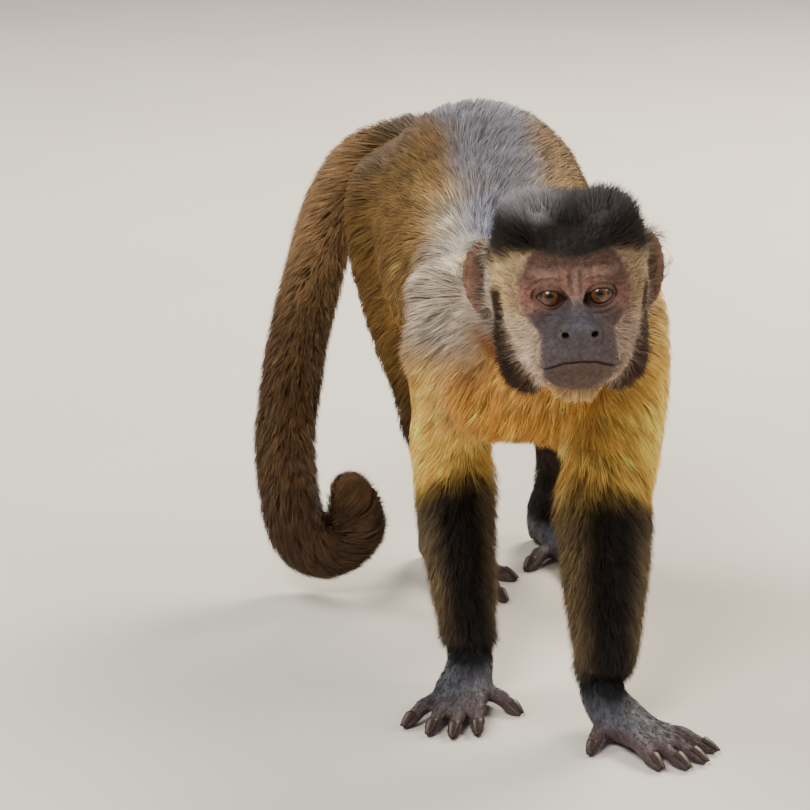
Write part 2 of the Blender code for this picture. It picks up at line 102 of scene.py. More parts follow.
def bump(distance: Array, width: float) -> Array:
    """A bell of height 1 over a distance, width across its middle."""
    return np.exp(-((distance / width) ** 2))


def unit(vectors: Array) -> Array:
    """Rows of unit length."""
    return vectors / np.maximum(np.linalg.norm(vectors, axis=1, keepdims=True), 1e-12)


def linear(code: str) -> tuple[float, float, float]:
    """The linear colour of an sRGB hex value, as a shader takes it."""
    parts = [int(code[k : k + 2], 16) / 255.0 for k in (0, 2, 4)]
    return tuple(c / 12.92 if c <= 0.04045 else ((c + 0.055) / 1.055) ** 2.4 for c in parts)


def polyline_distance(points: Array, line: Array) -> tuple[Array, Array]:
    """How far points are from a polyline.

    Args:
        points: rows of coordinates.
        line: rows of the polyline's corners.

    Returns:
        The distance of each point, and the nearest place on the line.
    """
    best = np.full(len(points), np.inf)
    near = np.zeros_like(points)
    for start, end in zip(line[:-1], line[1:]):
        step = end - start
        share = np.clip((points - start) @ step / max(step @ step, 1e-12), 0.0, 1.0)
        place = start + share[:, None] * step
        gap = np.linalg.norm(points - place, axis=1)
        closer = gap < best
        best[closer] = gap[closer]
        near[closer] = place[closer]
    return best, near


# ---- meshes as arrays ----
def points_of(mesh: Mesh) -> Array:
    """The places of a mesh's vertices.

    Args:
        mesh: that has them.

    Returns:
        One place to a row.
    """
    flat = np.empty(len(mesh.vertices) * 3, np.float32)
    mesh.vertices.foreach_get("co", flat)
    return flat.reshape(-1, 3).astype(float)


def triangles_of(mesh: Mesh) -> Array:
    """The corners of a mesh's triangles, one triangle to a row.

    Args:
        mesh: that has them.

    Returns:
        Rows of three vertex numbers.
    """
    mesh.calc_loop_triangles()
    flat = np.empty(len(mesh.loop_triangles) * 3, np.int32)
    mesh.loop_triangles.foreach_get("vertices", flat)
    return flat.reshape(-1, 3)


def linked(name: str, data: ID) -> Object:
    """A new object in the scene.

    Args:
        name: of the object.
        data: its mesh, lamp or camera.

    Returns:
        The object.
    """
    obj = bpy.data.objects.new(name, data)
    bpy.context.scene.collection.objects.link(obj)
    return obj


def mesh_object(name: str, points: Array, triangles: Array) -> Object:
    """An object of triangles, linked to the scene and shaded smooth.

    Args:
        name: of the object.
        points: rows of coordinates.
        triangles: rows of three point numbers.

    Returns:
        The object.
    """
    mesh = bpy.data.meshes.new(name)
    mesh.vertices.add(len(points))
    mesh.vertices.foreach_set("co", points.astype(np.float32).ravel())
    mesh.loops.add(3 * len(triangles))
    mesh.loops.foreach_set("vertex_index", triangles.astype(np.int32).ravel())
    mesh.polygons.add(len(triangles))
    mesh.polygons.foreach_set("loop_start", np.arange(0, 3 * len(triangles), 3, dtype=np.int32))
    mesh.polygons.foreach_set("use_smooth", np.ones(len(triangles), bool))
    mesh.update(calc_edges=True)
    return linked(name, mesh)


def object_of(name: str, bm: bmesh.types.BMesh) -> Object:
    """An object of a bmesh, linked to the scene.

    Args:
        name: of the object.
        bm: what it is made from, which is freed.

    Returns:
        The object.
    """
    mesh = bpy.data.meshes.new(name)
    bm.to_mesh(mesh)
    bm.free()
    return linked(name, mesh)


def settled(obj: Object) -> Object:
    """Turns what an object's modifiers make into its own plain mesh.

    Args:
        obj: with modifiers.

    Returns:
        The same object, without them.
    """
    graph = bpy.context.evaluated_depsgraph_get()
    mesh = bpy.data.meshes.new_from_object(obj.evaluated_get(graph))
    obj.modifiers.clear()
    old, obj.data = obj.data, mesh
    bpy.data.meshes.remove(old)
    return obj


def voxel_union(name: str, objects: list[Object], voxel: float) -> Object:
    """One closed mesh round many closed forms, which are removed.

    Args:
        name: of the new object.
        objects: closed mesh objects, which may overlap.
        voxel: the size of the new mesh's quads, in metres.

    Returns:
        The new object.
    """
    bm = bmesh.new()
    for obj in objects:
        bm.from_mesh(obj.data)
        bpy.data.objects.remove(obj, do_unlink=True)
    union = object_of(name, bm)
    remesh = union.modifiers.new("remesh", "REMESH")
    remesh.mode = "VOXEL"
    remesh.voxel_size = voxel
    return settled(union)


def colour_attribute(obj: Object, name: str, colours: Array) -> None:
    """Stores linear colours, one to a vertex, that a material reads by name.

    Args:
        obj: that gets them.
        name: of the attribute.
        colours: rows of red, green and blue.
    """
    layer = obj.data.attributes.new(name, "FLOAT_COLOR", "POINT")
    rows = np.ones((len(colours), 4), np.float32)
    rows[:, :3] = colours
    layer.data.foreach_set("color", rows.ravel())


@dataclass
class Surface:
    """A closed mesh of triangles as arrays, with who is next to whom."""

    points: Array
    triangles: Array
    near: Array = field(init=False)
    starts: Array = field(init=False)
    counts: Array = field(init=False)

    def __post_init__(self) -> None:
        """Lists every vertex's neighbours, one vertex after another."""
        t = self.triangles.astype(np.int64)
        pairs = np.concatenate([t[:, [0, 1]], t[:, [1, 2]], t[:, [2, 0]]])
        pairs = np.concatenate([pairs, pairs[:, ::-1]])
        keys = np.unique(pairs[:, 0] * len(self.points) + pairs[:, 1])
        self.near = keys % len(self.points)
        self.counts = np.bincount(keys // len(self.points), minlength=len(self.points))
        self.starts = np.concatenate([[0], np.cumsum(self.counts)[:-1]])

    def normals(self) -> Array:
        """The outward unit normal at every vertex.

        Returns:
            One row to a point.
        """
        a, b, c = (self.points[self.triangles[:, k]] for k in range(3))
        faces = np.cross(b - a, c - a)
        made = np.zeros_like(self.points)
        for k in range(3):
            for axis in range(3):
                made[:, axis] += np.bincount(
                    self.triangles[:, k], weights=faces[:, axis], minlength=len(self.points)
                )
        return unit(made)

    def averaged(self, values: Array, times: int, share: Array | float = 1.0) -> Array:
        """Values at the vertices, each moved towards the mean of its neighbours.

        Args:
            values: one row to a vertex.
            times: how often.
            share: how far each moves, for all or for each vertex.

        Returns:
            The smoothed values.
        """
        rows = values.reshape(len(values), -1)
        part = np.broadcast_to(np.reshape(share, (-1, 1)), (len(rows), 1))
        for _ in range(times):
            mean = np.add.reduceat(rows[self.near], self.starts, axis=0) / self.counts[:, None]
            rows = rows + (mean - rows) * part
        return rows.reshape(values.shape)

    def relax(self, times: int, share: Array | float) -> None:
        """Moves every point towards the mean of its neighbours, over and over."""
        self.points = self.averaged(self.points, times, share)

    def largest_part(self) -> "Surface":
        """The connected part with the most vertices.

        Returns:
            The part, as a surface of its own.
        """
        label = np.arange(len(self.points))
        while True:
            lowest = np.minimum(label, np.minimum.reduceat(label[self.near], self.starts))
            lowest = lowest[lowest]
            if np.array_equal(lowest, label):
                break
            label = lowest
        values, counts = np.unique(label, return_counts=True)
        keep = label == values[counts.argmax()]
        number = np.cumsum(keep) - 1
        return Surface(self.points[keep], number[self.triangles[keep[self.triangles[:, 0]]]])


def surface_of(obj: Object) -> Surface:
    """An object's mesh as a surface; the object goes.

    Args:
        obj: of triangles.

    Returns:
        The surface.
    """
    made = Surface(points_of(obj.data), triangles_of(obj.data))
    bpy.data.objects.remove(obj, do_unlink=True)
    return made


def tree_of(points: Array) -> KDTree:
    """A search tree of points.

    Args:
        points: rows of coordinates.

    Returns:
        The tree.
    """
    tree = KDTree(len(points))
    for index, point in enumerate(points.tolist()):
        tree.insert(point, index)
    tree.balance()
    return tree


def nearest(tree: KDTree, points: Array) -> Array:
    """The number of the tree's point that is nearest to each point."""
    find = tree.find
    return np.fromiter((find(point)[1] for point in points.tolist()), np.int64, len(points))


# ---- where things are ----
def between_eyes() -> Vector:
    """The middle between the two eyes' solids.

    Returns:
        A place in the row.
    """
    middle = Vector()
    for side in Side:
        low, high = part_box(f"eye_{side.word}")
        middle += (low + high) / 4
    return middle


@dataclass(frozen=True)
class HeadFrame:
    """The head's own axes in millimetres: x to its left, y back, z up, from between the eyes."""

    turn: float = -3.5  # degrees to its left
    nod: float = 1.0
    lean: float = -2.3
    eye_apart: float = 12.8  # from the midline to an eye's centre
    eye_depth: float = 6.4  # an eye's centre behind the face's front

    @property
    def matrix(self) -> Matrix:
        """From the head's millimetres to the row's metres.

        Returns:
            A matrix with millimetres on its right.
        """
        turned = (
            Matrix.Rotation(math.radians(self.turn), 4, "Z")
            @ Matrix.Rotation(math.radians(self.nod), 4, "X")
            @ Matrix.Rotation(math.radians(self.lean), 4, "Y")
        )
        back = Matrix.Translation((0.0, -self.eye_depth, 0.0))
        return Matrix.Translation(between_eyes()) @ turned @ Matrix.Scale(MM, 4) @ back

    def local(self, points: Array) -> Array:
        """Points of the row in the head's millimetres."""
        inverse = self.matrix.inverted()
        return points @ np.array(inverse.to_3x3()).T + np.array(inverse.translation)

    def world(self, points: Array) -> Array:
        """Points in the head's millimetres in the row's metres."""
        return points @ np.array(self.matrix.to_3x3()).T + np.array(self.matrix.translation)


@dataclass(frozen=True)
class GroundFrame:
    """A hand's or foot's own axes on the floor, +Y back along the limb's heading."""

    node: str  # the limb above it
    reach: tuple[float, float]  # from the middle of that limb's lower end, in metres
    heading: float  # degrees from straight ahead, to the animal's left
    slice_height: float = 6 * MM
    pressed: float = 1.3 * MM  # how far its pads are below the floor before they are made flat

    def lower_end(self) -> Array:
        """The middle of the limb's lower end.

        Returns:
            Its x, y and z, in metres.
        """
        low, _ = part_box(self.node)
        points = points_of(bpy.data.objects[self.node].data)
        return points[points[:, 2] < low.z + self.slice_height].mean(axis=0)

    @property
    def matrix(self) -> Matrix:
        """Where the frame's own places lie in the row.

        Returns:
            From the frame to the row.
        """
        x, y, _ = self.lower_end()
        place = Matrix.Translation((x + self.reach[0], y + self.reach[1], -self.pressed))
        return place @ Matrix.Rotation(math.radians(self.heading), 4, "Z")


# ---- closed forms ----
def ellipsoid(matrix: Matrix, centre: tuple, radii: tuple, segments: int = 32) -> Object:
    """A closed ellipsoid, its middle and half axes given in a frame's own units.

    Args:
        matrix: from the frame to the row.
        centre: its middle.
        radii: its half axes.
        segments: how many go round it.

    Returns:
        The form.
    """
    bm = bmesh.new()
    bmesh.ops.create_uvsphere(bm, u_segments=segments, v_segments=segments // 2, radius=1.0)
    bm.transform(matrix @ Matrix.Translation(centre) @ Matrix.Diagonal((*radii, 1.0)))
    return object_of("form", bm)


def tube(stations: list[tuple], side: Vector, sides: int = 16, per_span: int = 4) -> Object:
    """A closed tube with round ends through stations.

    Args:
        stations: rows of (x, y, z, half width, half height).
        side: the direction that the half widths lie along.
        sides: how many corners each ring has.
        per_span: how many rings stand between two stations.

    Returns:
        The tube, as an object.
    """
    rows = np.array(stations, float)
    padded = np.vstack([2 * rows[0] - rows[1], rows, 2 * rows[-1] - rows[-2]])
    course = []
    for a, b, c, d in zip(padded, padded[1:], padded[2:], padded[3:]):
        for t in np.arange(per_span) / per_span:
            course.append(
                0.5 * (2 * b + (c - a) * t + (2 * a - 5 * b + 4 * c - d) * t**2
                       + (3 * b - a - 3 * c + d) * t**3)
            )
    course = np.array([*course, rows[-1]])
    centres = [Vector(row[:3]) for row in course]
    last = len(centres) - 1
    tangents = [
        (centres[min(i + 1, last)] - centres[max(i - 1, 0)]).normalized() for i in range(last + 1)
    ]
    bm = bmesh.new()
    rings = []

    def ring(centre: Vector, tangent: Vector, wide: float, high: float) -> list:
        """One ring of vertices across the tube.

        Args:
            centre: of the ring.
            tangent: the tube's direction there.
            wide: half its width.
            high: half its height.

        Returns:
            The vertices in order.
        """
        across = (side - tangent * side.dot(tangent)).normalized()
        up = tangent.cross(across)
        turns = [2 * math.pi * k / sides for k in range(sides)]
        return [
            bm.verts.new(centre + across * math.cos(t) * wide + up * math.sin(t) * high)
            for t in turns
        ]

    round_off = [math.radians(angle) for angle in (30, 58, 80)]
    caps = [(0, [-t for t in reversed(round_off)]), (last, round_off)]
    for end, order in caps:
        made = []
        wide, high = course[end][3:]
        for t in order:
            shift = tangents[end] * math.sin(t) * min(wide, high)
            made.append(
                ring(centres[end] + shift, tangents[end], wide * math.cos(t), high * math.cos(t))
            )
        if end == 0:
            rings += made
            rings += [ring(c, t, row[3], row[4]) for c, t, row in zip(centres, tangents, course)]
        else:
            rings += made
    for first, second in zip(rings, rings[1:]):
        for k in range(sides):
            after = (k + 1) % sides
            bm.faces.new((first[k], first[after], second[after], second[k]))
    bm.faces.new(list(reversed(rings[0])))
    bm.faces.new(rings[-1])
    bmesh.ops.recalc_face_normals(bm, faces=bm.faces)
    return object_of("form", bm)


@dataclass(frozen=True)
class Ear:
    """One ear: a thin cup with a rolled rim, open outwards and forwards; millimetres."""

    side: Side
    frame: HeadFrame
    centre: tuple = (44.0, 45.5, 2.0)
    half_width: float = 12.0
    half_height: float = 20.0
    opens: float = 34.0  # degrees that its rim is turned back
    hollow: float = 6.0
    wall: float = 2.6
    rim: float = 1.5
    rings: int = 14
    spokes: int = 40

    def build(self) -> Object:
        """The ear as one closed form.

        Returns:
            The form.
        """
        radius = np.linspace(0.0, 1.0, self.rings + 1)[1:]
        turn = np.arange(self.spokes) * 2 * math.pi / self.spokes
        r, t = (grid.ravel() for grid in np.meshgrid(radius, turn, indexing="ij"))
        lobe = 1.0 - 0.16 * np.clip(-np.sin(t), 0, 1) ** 3  # narrower towards the lobe
        x = np.cos(t) * r * self.half_width * lobe
        z = np.sin(t) * r * self.half_height
        floor = self.hollow * (1.0 - r**1.6)
        helix = self.rim * bump(r - 0.93, 0.09)
        fold = 1.6 * bump(r - 0.66, 0.1) * np.clip(np.cos(t - 0.5), 0, 1)
        front = floor - helix - fold
        back = floor + self.wall * np.sqrt(np.clip(1.0 - (r * 0.97) ** 8, 0.02, 1.0))
        sheets = [np.column_stack([x, depth, z]) for depth in (front, back)]
        poles = np.array([[0.0, self.hollow, 0.0], [0.0, self.hollow + self.wall, 0.0]])
        points = np.vstack([*sheets, poles])
        count = self.rings * self.spokes
        faces = []
        for sheet in range(2):
            base = sheet * count
            for k in range(self.spokes):
                after = (k + 1) % self.spokes
                fan = [2 * count + sheet, base + k, base + after]
                faces.append(fan if sheet else fan[::-1])
                for ring in range(self.rings - 1):
                    a, b = base + ring * self.spokes, base + (ring + 1) * self.spokes
                    quad = [a + k, b + k, b + after, a + after]
                    faces.append(quad if sheet else quad[::-1])
        edge = (self.rings - 1) * self.spokes
        for k in range(self.spokes):
            after = (k + 1) % self.spokes
            faces.append([edge + k, edge + after, count + edge + after, count + edge + k])
        points[:, 0] *= self.side.value
        turned = Matrix.Rotation(math.radians(self.side.value * self.opens), 4, "Z")
        cx, cy, cz = self.centre
        place = self.frame.matrix @ Matrix.Translation((self.side.value * cx, cy, cz)) @ turned
        bm = bmesh.new()
        verts = [bm.verts.new(place @ Vector(point)) for point in points]
        for face in faces:
            bm.faces.new([verts[k] for k in face])
        bmesh.ops.recalc_face_normals(bm, faces=bm.faces)
        return object_of("form", bm)


@dataclass(frozen=True)
class Digit:
    """One finger or toe: where its knuckle is, its heading in degrees, length and radius in metres."""

    base: tuple[float, float]
    heading: float
    length: float
    radius: float
    lift: float

    COURSE = (  # share of the length, height over the lift, thickness over the radius
        (0.0, 1.0, 1.05), (0.16, 1.0, 0.97), (0.36, 1.0, 0.9), (0.46, 0.98, 1.0),
        (0.58, 0.86, 0.88), (0.72, 0.66, 0.86), (0.8, 0.58, 0.9), (0.92, 0.46, 0.8),
        (1.0, 0.38, 0.62),
    )

    def stations(self, frame: Matrix) -> list[tuple]:
        """The finger's stations in the row, knuckle first.

        Args:
            frame: of the hand or foot, in the row.

        Returns:
            Rows of (x, y, z, half width, half height).
        """
        turn = math.radians(self.heading)
        course = Vector((math.sin(turn), -math.cos(turn), 0.0))
        made = []
        for share, height, thick in self.COURSE:
            up = Vector((0, 0, max(self.lift * height, self.radius * thick)))
            centre = frame @ (Vector((*self.base, 0.0)) + course * self.length * share + up)
            made.append((*centre, self.radius * thick, self.radius * thick))
        return made

    def across(self, frame: Matrix) -> Vector:
        """The direction across the finger."""
        turn = math.radians(self.heading)
        return frame.to_3x3() @ Vector((math.cos(turn), math.sin(turn), 0.0))

    def build(self, frame: Matrix) -> Object:
        """The finger as one closed form."""
        return tube(self.stations(frame), self.across(frame))


@dataclass(frozen=True)
class Paw:
    """A hand or a foot: its frame on the floor, its palm's stations and its digits."""

    name: str
    ground: GroundFrame
    palm: tuple  # middle in the frame, half width, half height
    digits: tuple[Digit, ...]
    wrist: float  # radius of the limb's skin where it meets the palm

    def forms(self) -> list[Object]:
        """The palm, with the limb's end in it, and the digits.

        Returns:
            The closed forms, which overlap.
        """
        frame = self.ground.matrix
        end = self.ground.lower_end()
        stations = [
            (end[0], end[1], end[2] + 0.012, self.wrist, self.wrist),
            (end[0], end[1], end[2] + 0.002, self.wrist, self.wrist),
        ]
        stations += [(*(frame @ Vector(centre)), wide, high) for centre, wide, high in self.palm]
        across = frame.to_3x3() @ Vector((1, 0, 0))
        return [tube(stations, across, sides=20), *(digit.build(frame) for digit in self.digits)]


@dataclass(frozen=True)
class PawPlan:
    """The plan of a hand or a foot, the same for both sides; across is inwards, in metres."""

    limb: str
    fingers: tuple  # across, heading and length of each
    knuckles: float  # how far ahead the middle fingers' knuckles are
    arch: float  # how far the outer knuckles stand back, over their distance across
    girth: tuple[float, float]  # radius and lift of the fingers
    thumb: tuple  # across, ahead, heading, length, radius
    palm: tuple  # middle, half width and half height of each station
    wrist: float

    FLESHY = 0.002  # fingertip beyond the last bone
    THUMB_LIFT = 0.008

    def paw(self, name: str, side: Side, reach: tuple[float, float], heading: float) -> Paw:
        """The hand or foot at one side of the animal.

        Args:
            name: hand or foot.
            side: of the animal.
            reach: from the limb's lower end, in metres.
            heading: degrees to the animal's left.

        Returns:
            The hand or foot.
        """
        inner = -side.value
        digits = [
            Digit((inner * across, self.knuckles + abs(across) * self.arch), inner * turn,
                  length + self.FLESHY, *self.girth)
            for across, turn, length in self.fingers
        ]
        across, ahead, turn, length, radius = self.thumb
        digits.append(Digit((inner * across, ahead), inner * turn, length, radius, self.THUMB_LIFT))
        ground = GroundFrame(f"{self.limb}_{side.word}", reach, heading)
        return Paw(f"{name}_{side.word}", ground, self.palm, tuple(digits), self.wrist)


HAND = PawPlan(
    "forearm",
    ((0.0108, 11.0, 0.035), (0.0037, 3.0, 0.04), (-0.0037, -5.0, 0.038), (-0.0104, -20.0, 0.032)),
    -0.034, 0.25, (0.0046, 0.0088), (0.011, -0.012, 52.0, 0.027, 0.0046),
    (((0.0, 0.002, 0.019), 0.0115, 0.01), ((0.0, -0.01, 0.0125), 0.0145, 0.0105),
     ((0.0, -0.022, 0.0092), 0.0155, 0.0086), ((0.0, -0.033, 0.0086), 0.0145, 0.007)),
    0.0098,
)
FOOT = PawPlan(  # its big toe stands apart like a thumb
    "shank",
    ((0.0106, 12.0, 0.032), (0.0037, 4.0, 0.036), (-0.0037, -4.0, 0.035), (-0.0104, -14.0, 0.03)),
    -0.058, 0.3, (0.0045, 0.008), (0.0105, -0.026, 48.0, 0.031, 0.0053),
    (((0.0, 0.014, 0.0125), 0.01, 0.0108), ((0.0, 0.002, 0.014), 0.0115, 0.0128),
     ((0.0, -0.016, 0.0115), 0.013, 0.0108), ((0.0, -0.04, 0.009), 0.0142, 0.0084),
     ((0.0, -0.058, 0.008), 0.0142, 0.0068)),
    0.0092,
)


# ---- the coat's measure ----
@dataclass(frozen=True)
class Zone:
    """How the hair of one kind of part grows; millimetres, and tufts to a square millimetre."""

    depth: float
    length: float
    width: float
    dense: float
    colour: str  # in the palette, under the markings


ZONES = {
    "head": Zone(2.6, 6.5, 0.36, 4.0, "pale"),
    "ear": Zone(0.5, 3.0, 0.24, 1.6, "ear"),
    "neck": Zone(10.0, 25.0, 0.62, 1.3, "shoulder"),
    "chest": Zone(10.0, 24.0, 0.62, 1.3, "shoulder"),
    "abdomen": Zone(8.0, 24.0, 0.66, 1.0, "flank"),
    "rump": Zone(8.0, 24.0, 0.66, 1.0, "flank"),
    "upper_arm": Zone(7.5, 19.0, 0.58, 1.4, "arm"),
    "forearm": Zone(5.5, 12.0, 0.46, 2.0, "forearm"),
    "hand": Zone(0.8, 5.0, 0.3, 1.3, "hand"),
    "thigh": Zone(8.0, 22.0, 0.62, 1.1, "thigh"),
    "shank": Zone(5.0, 11.0, 0.5, 1.6, "shank"),
    "foot": Zone(0.8, 5.0, 0.3, 1.0, "hand"),
    "tail": Zone(6.0, 13.0, 0.5, 1.6, "tail"),
}
FLESH = tuple(ZONES)
MEASURE = ("depth", "length", "width", "dense")


def mix(measure: dict[str, Array], weight: Array, *values: float) -> None:
    """Moves the coat's depth, length, width and density towards the values given, by a weight."""
    for name, value in zip(MEASURE, values):
        measure[name] += (value - measure[name]) * weight


def kind_of(node: str) -> str:
    """The kind of part that a CAD node is."""
    kind = node.replace("_left", "").replace("_right", "")
    return "tail" if kind.startswith("tail") else kind


# ---- the head ----
HEAD_FORMS = (  # middle and half axes, in millimetres in the head's frame
    ((0, 44, 6), (34, 42, 33)),  # braincase
    ((0, 18, 14), (31, 18.5, 21)),  # forehead
    ((0, 16, -8), (33, 17.0, 27)),  # face
    ((0, -1, -27.5), (20.2, 17.8, 15.2)),  # muzzle
    ((0, 3, -8), (9.5, 13.5, 15)),  # bridge of the nose
    ((0, -11.5, -13.5), (9.0, 8.5, 6.5)),  # nose
    ((0, 1, -40.5), (15, 16, 10)),  # chin
    ((0, 34, -22), (28, 28, 22)),  # throat
)
PAIRED_HEAD_FORMS = (
    ((26, 32, 2), (13, 27, 27)),  # temple
    ((23, 24, -17), (14.5, 22, 22)),  # cheek
    ((10.5, 0, -28), (13.5, 15.5, 13.5)),  # lip
    ((16, 13, -32), (14, 20, 14)),  # jaw
    ((12.5, 8.5, 12.0), (14.5, 9.5, 6.0)),  # brow
    ((21, 10, -9), (11, 10.5, 9)),  # cheekbone
    ((7.2, -12.5, -14.5), (4.4, 7.0, 4.6)),  # wing of the nose
    ((19, 20, -35), (16, 17, 15)),  # jowl
    ((18, 26, 31), (14, 21, 14)),  # side of the crown
)


@dataclass(frozen=True)
class Fold:
    """A crease of the face, drawn as seen from the front and repeated on both sides."""

    line: tuple  # x out from the midline and z, in millimetres
    depth: float
    width: float


FOLDS = (
    Fold(((2.4, 3.0), (3.1, 8.0), (2.2, 14.0)), 0.55, 0.9),  # frown between the brows
    Fold(((6.0, 8.6), (12.0, 10.2), (19.0, 8.8), (24.0, 4.0)), 0.5, 1.0),  # over the upper lid
    Fold(((4.0, 14.5), (12.0, 17.0), (21.0, 14.5)), 0.35, 1.2),  # brow
    Fold(((4.6, -5.4), (9.0, -8.2), (15.0, -8.9), (20.5, -6.2)), 0.55, 0.8),  # bag under the eye
    Fold(((5.4, -8.6), (10.0, -11.8), (17.0, -12.2), (23.5, -8.0)), 0.4, 1.0),
    Fold(((6.5, -5.0), (10.5, -12.5), (16.0, -19.0), (19.0, -26.0), (20.5, -34.0)), 0.75, 1.5),
    Fold(((0.0, -19.0), (0.0, -27.0)), 0.35, 0.8),  # below the nose
)


@dataclass(frozen=True)
class Face:
    """What is sculpted into the front of the head: lids, nostrils, mouth and folds; millimetres."""

    frame: HeadFrame
    eye_depth: float = 7.8  # of the eyes as they are seen, a little deeper than their solids
    lid_radius: float = 8.65
    inner_corner: tuple = (-7.0, -1.0)  # out from the eye's middle, and up
    outer_corner: tuple = (7.0, 0.6)
    lid_rise: float = 4.2
    lid_drop: float = 3.9
    behind: float = 6.6  # radius of the skin behind the eyeball's front
    snap: float = 0.24  # how near the lids' edge a point is moved onto it
    join: float = 0.9  # how softly the lids run into the face
    nostril: tuple = (7.6, -15.3)
    mouth_height: float = -29.2
    mouth_droop: float = 4.7
    mouth_width: float = 18.5

    def lids(self, count: int = 33) -> Array:
        """The edge of the lids round one eye, as a closed line.

        Args:
            count: points along each lid.

        Returns:
            Rows of out from the eye's middle, and up.
        """
        t = np.linspace(-1.0, 1.0, count)
        (u0, v0), (u1, v1) = self.inner_corner, self.outer_corner
        u = u0 + (u1 - u0) * (t + 1) / 2
        level = v0 + (v1 - v0) * (t + 1) / 2
        upper = np.column_stack([u, level + self.lid_rise * (1 - t * t) ** 0.62])
        lower = np.column_stack([u, level - self.lid_drop * (1 - t * t) ** 0.8])
        return np.vstack([upper, lower[::-1][1:]])

    def edge_distance(self, places: Array) -> tuple[Array, Array]:
        """How far places seen from the front are outside the lids' edge, and the nearest place on it.

        Args:
            places: rows of out from the eye's middle, and up.

        Returns:
            The distance of each, below 0 in the opening, and the edge's nearest place.
        """
        line = self.lids()
        gap, near = polyline_distance(places, line)
        inside = np.zeros(len(places), bool)
        for (u0, v0), (u1, v1) in zip(line[:-1], line[1:]):
            crosses = (v0 > places[:, 1]) != (v1 > places[:, 1])
            at = u0 + (places[:, 1] - v0) * (u1 - u0) / (v1 - v0 + 1e-12)
            inside ^= crosses & (places[:, 0] < at)
        return np.where(inside, -gap, gap), near

    def open_eyes(self, p: Array) -> Array:
        """Moves points onto the lids, and those in the opening behind the eyeball.

        Args:
            p: points in the head's frame.

        Returns:
            The moved points.
        """
        made = p.copy()
        for side in Side:
            rows = np.flatnonzero(
                (np.abs(p[:, 0] - side.value * self.frame.eye_apart) < 15)
                & (np.abs(p[:, 2]) < 13)
                & (p[:, 1] < 9)
            )
            out = side.value * p[rows, 0] - self.frame.eye_apart
            place = np.column_stack([out, p[rows, 2]])
            edge, near = self.edge_distance(place)
            close = np.abs(edge) < self.snap
            place[close] = near[close]
            edge[close] = 0.0
            reach = np.linalg.norm(place, axis=1)
            above = place[:, 1] > -0.2
            crease = np.where(above, 0.55 * bump(edge - 2.3, 0.55), 0.35 * bump(edge - 2, 0.5))
            radius = self.lid_radius + 0.35 * ease(0, 1, edge) - crease
            radius = np.where(edge < -0.01, self.behind, radius)
            lid = self.eye_depth - np.sqrt(np.maximum(radius**2 - reach**2, 0.01))
            face = p[rows, 1]
            blended = -self.join * np.log(np.exp(-face / self.join) + np.exp(-lid / self.join))
            keep = ease(3.2, 1.2, edge)
            depth = np.where(edge < 0, lid, blended + (lid - blended) * keep)
            weight = ease(10, 5, edge)
            made[rows, 0] = side.value * (place[:, 0] + self.frame.eye_apart)
            made[rows, 2] = place[:, 1]
            made[rows, 1] = face + (depth - face) * weight
        return made

    def mouth_line(self, x: Array) -> Array:
        """How high the lips meet at a distance across."""
        share = np.abs(x / self.mouth_width)
        return self.mouth_height - self.mouth_droop * share**1.25 + 0.8 * bump(share - 0.45, 0.2)

    def carve(self, p: Array, n: Array) -> Array:
        """How far each point moves along its normal for mouth, folds and lips.

        Args:
            p: points in the head's frame.
            n: their normals.

        Returns:
            Millimetres outwards.
        """
        x, z = np.abs(p[:, 0]), p[:, 2]
        front = ease(0.15, 0.5, -n[:, 1]) * ease(14, 8, p[:, 1])
        off = z - self.mouth_line(p[:, 0])
        along = ease(self.mouth_width + 1.5, self.mouth_width - 2, x)
        front_lips = ease(-0.1, 0.2, -n[:, 1]) * (p[:, 1] < 8)
        move = -1.2 * bump(off, 0.6) * along * front_lips
        move += 0.65 * bump(off - 1.9, 1.5) * along * front_lips
        move += 0.75 * bump(off + 2.3, 1.7) * along * front_lips
        move -= 0.5 * bump(off + 6.5, 1.6) * ease(14, 8, x) * front_lips
        places = np.column_stack([x, z])
        for fold in FOLDS:
            gap, _ = polyline_distance(places, np.array(fold.line))
            gap = np.where(front > 0, gap, 99.0)
            move -= front * fold.depth * bump(gap, fold.width)
            move += front * 0.35 * fold.depth * bump(gap - 1.9 * fold.width, fold.width)
        return move

    def nostril_reach(self, x: Array, z: Array) -> Array:
        """How far out from a nostril's middle, 1 at its edge; x is out from the midline."""
        out, up = x - self.nostril[0], z - self.nostril[1]
        return np.hypot((out - 0.35 * up) / 2.0, (up + 0.3 * out) / 2.1)

    def open_nose(self, p: Array) -> Array:
        """Moves points in, where the nostrils are.

        Args:
            p: points in the head's frame.

        Returns:
            The moved points.
        """
        made = p.copy()
        for side in Side:
            out = side.value * p[:, 0] - self.nostril[0]
            reach = self.nostril_reach(side.value * p[:, 0], p[:, 2])
            pit = ease(1.15, 0.45, reach) * (p[:, 1] < -8)
            rim = bump(reach - 1.75, 0.45) * (p[:, 1] < -8) * ease(-2.5, 0.5, out)
            made[:, 0] += side.value * (-0.8 * pit + 0.45 * rim)
            made[:, 1] += 3.6 * pit - 0.8 * rim
            made[:, 2] += 0.8 * pit
        return made

    def sculpt(self, points: Array, normals: Array) -> Array:
        """The skin's points with the face in them.

        Args:
            points: the skin's points, in the row.
            normals: their outward normals.

        Returns:
            The moved points, in the row.
        """
        local = self.frame.local(points)
        rows = np.flatnonzero(
            (np.abs(local[:, 0]) < 45) & (local[:, 1] < 32) & (np.abs(local[:, 2] + 10) < 46)
        )
        p = local[rows]
        turned = normals[rows] @ np.array(self.frame.matrix.to_3x3().normalized())
        p = p + turned * self.carve(p, turned)[:, None]
        p = self.open_eyes(self.open_nose(p))
        made = points.copy()
        made[rows] = self.frame.world(p)
        return made


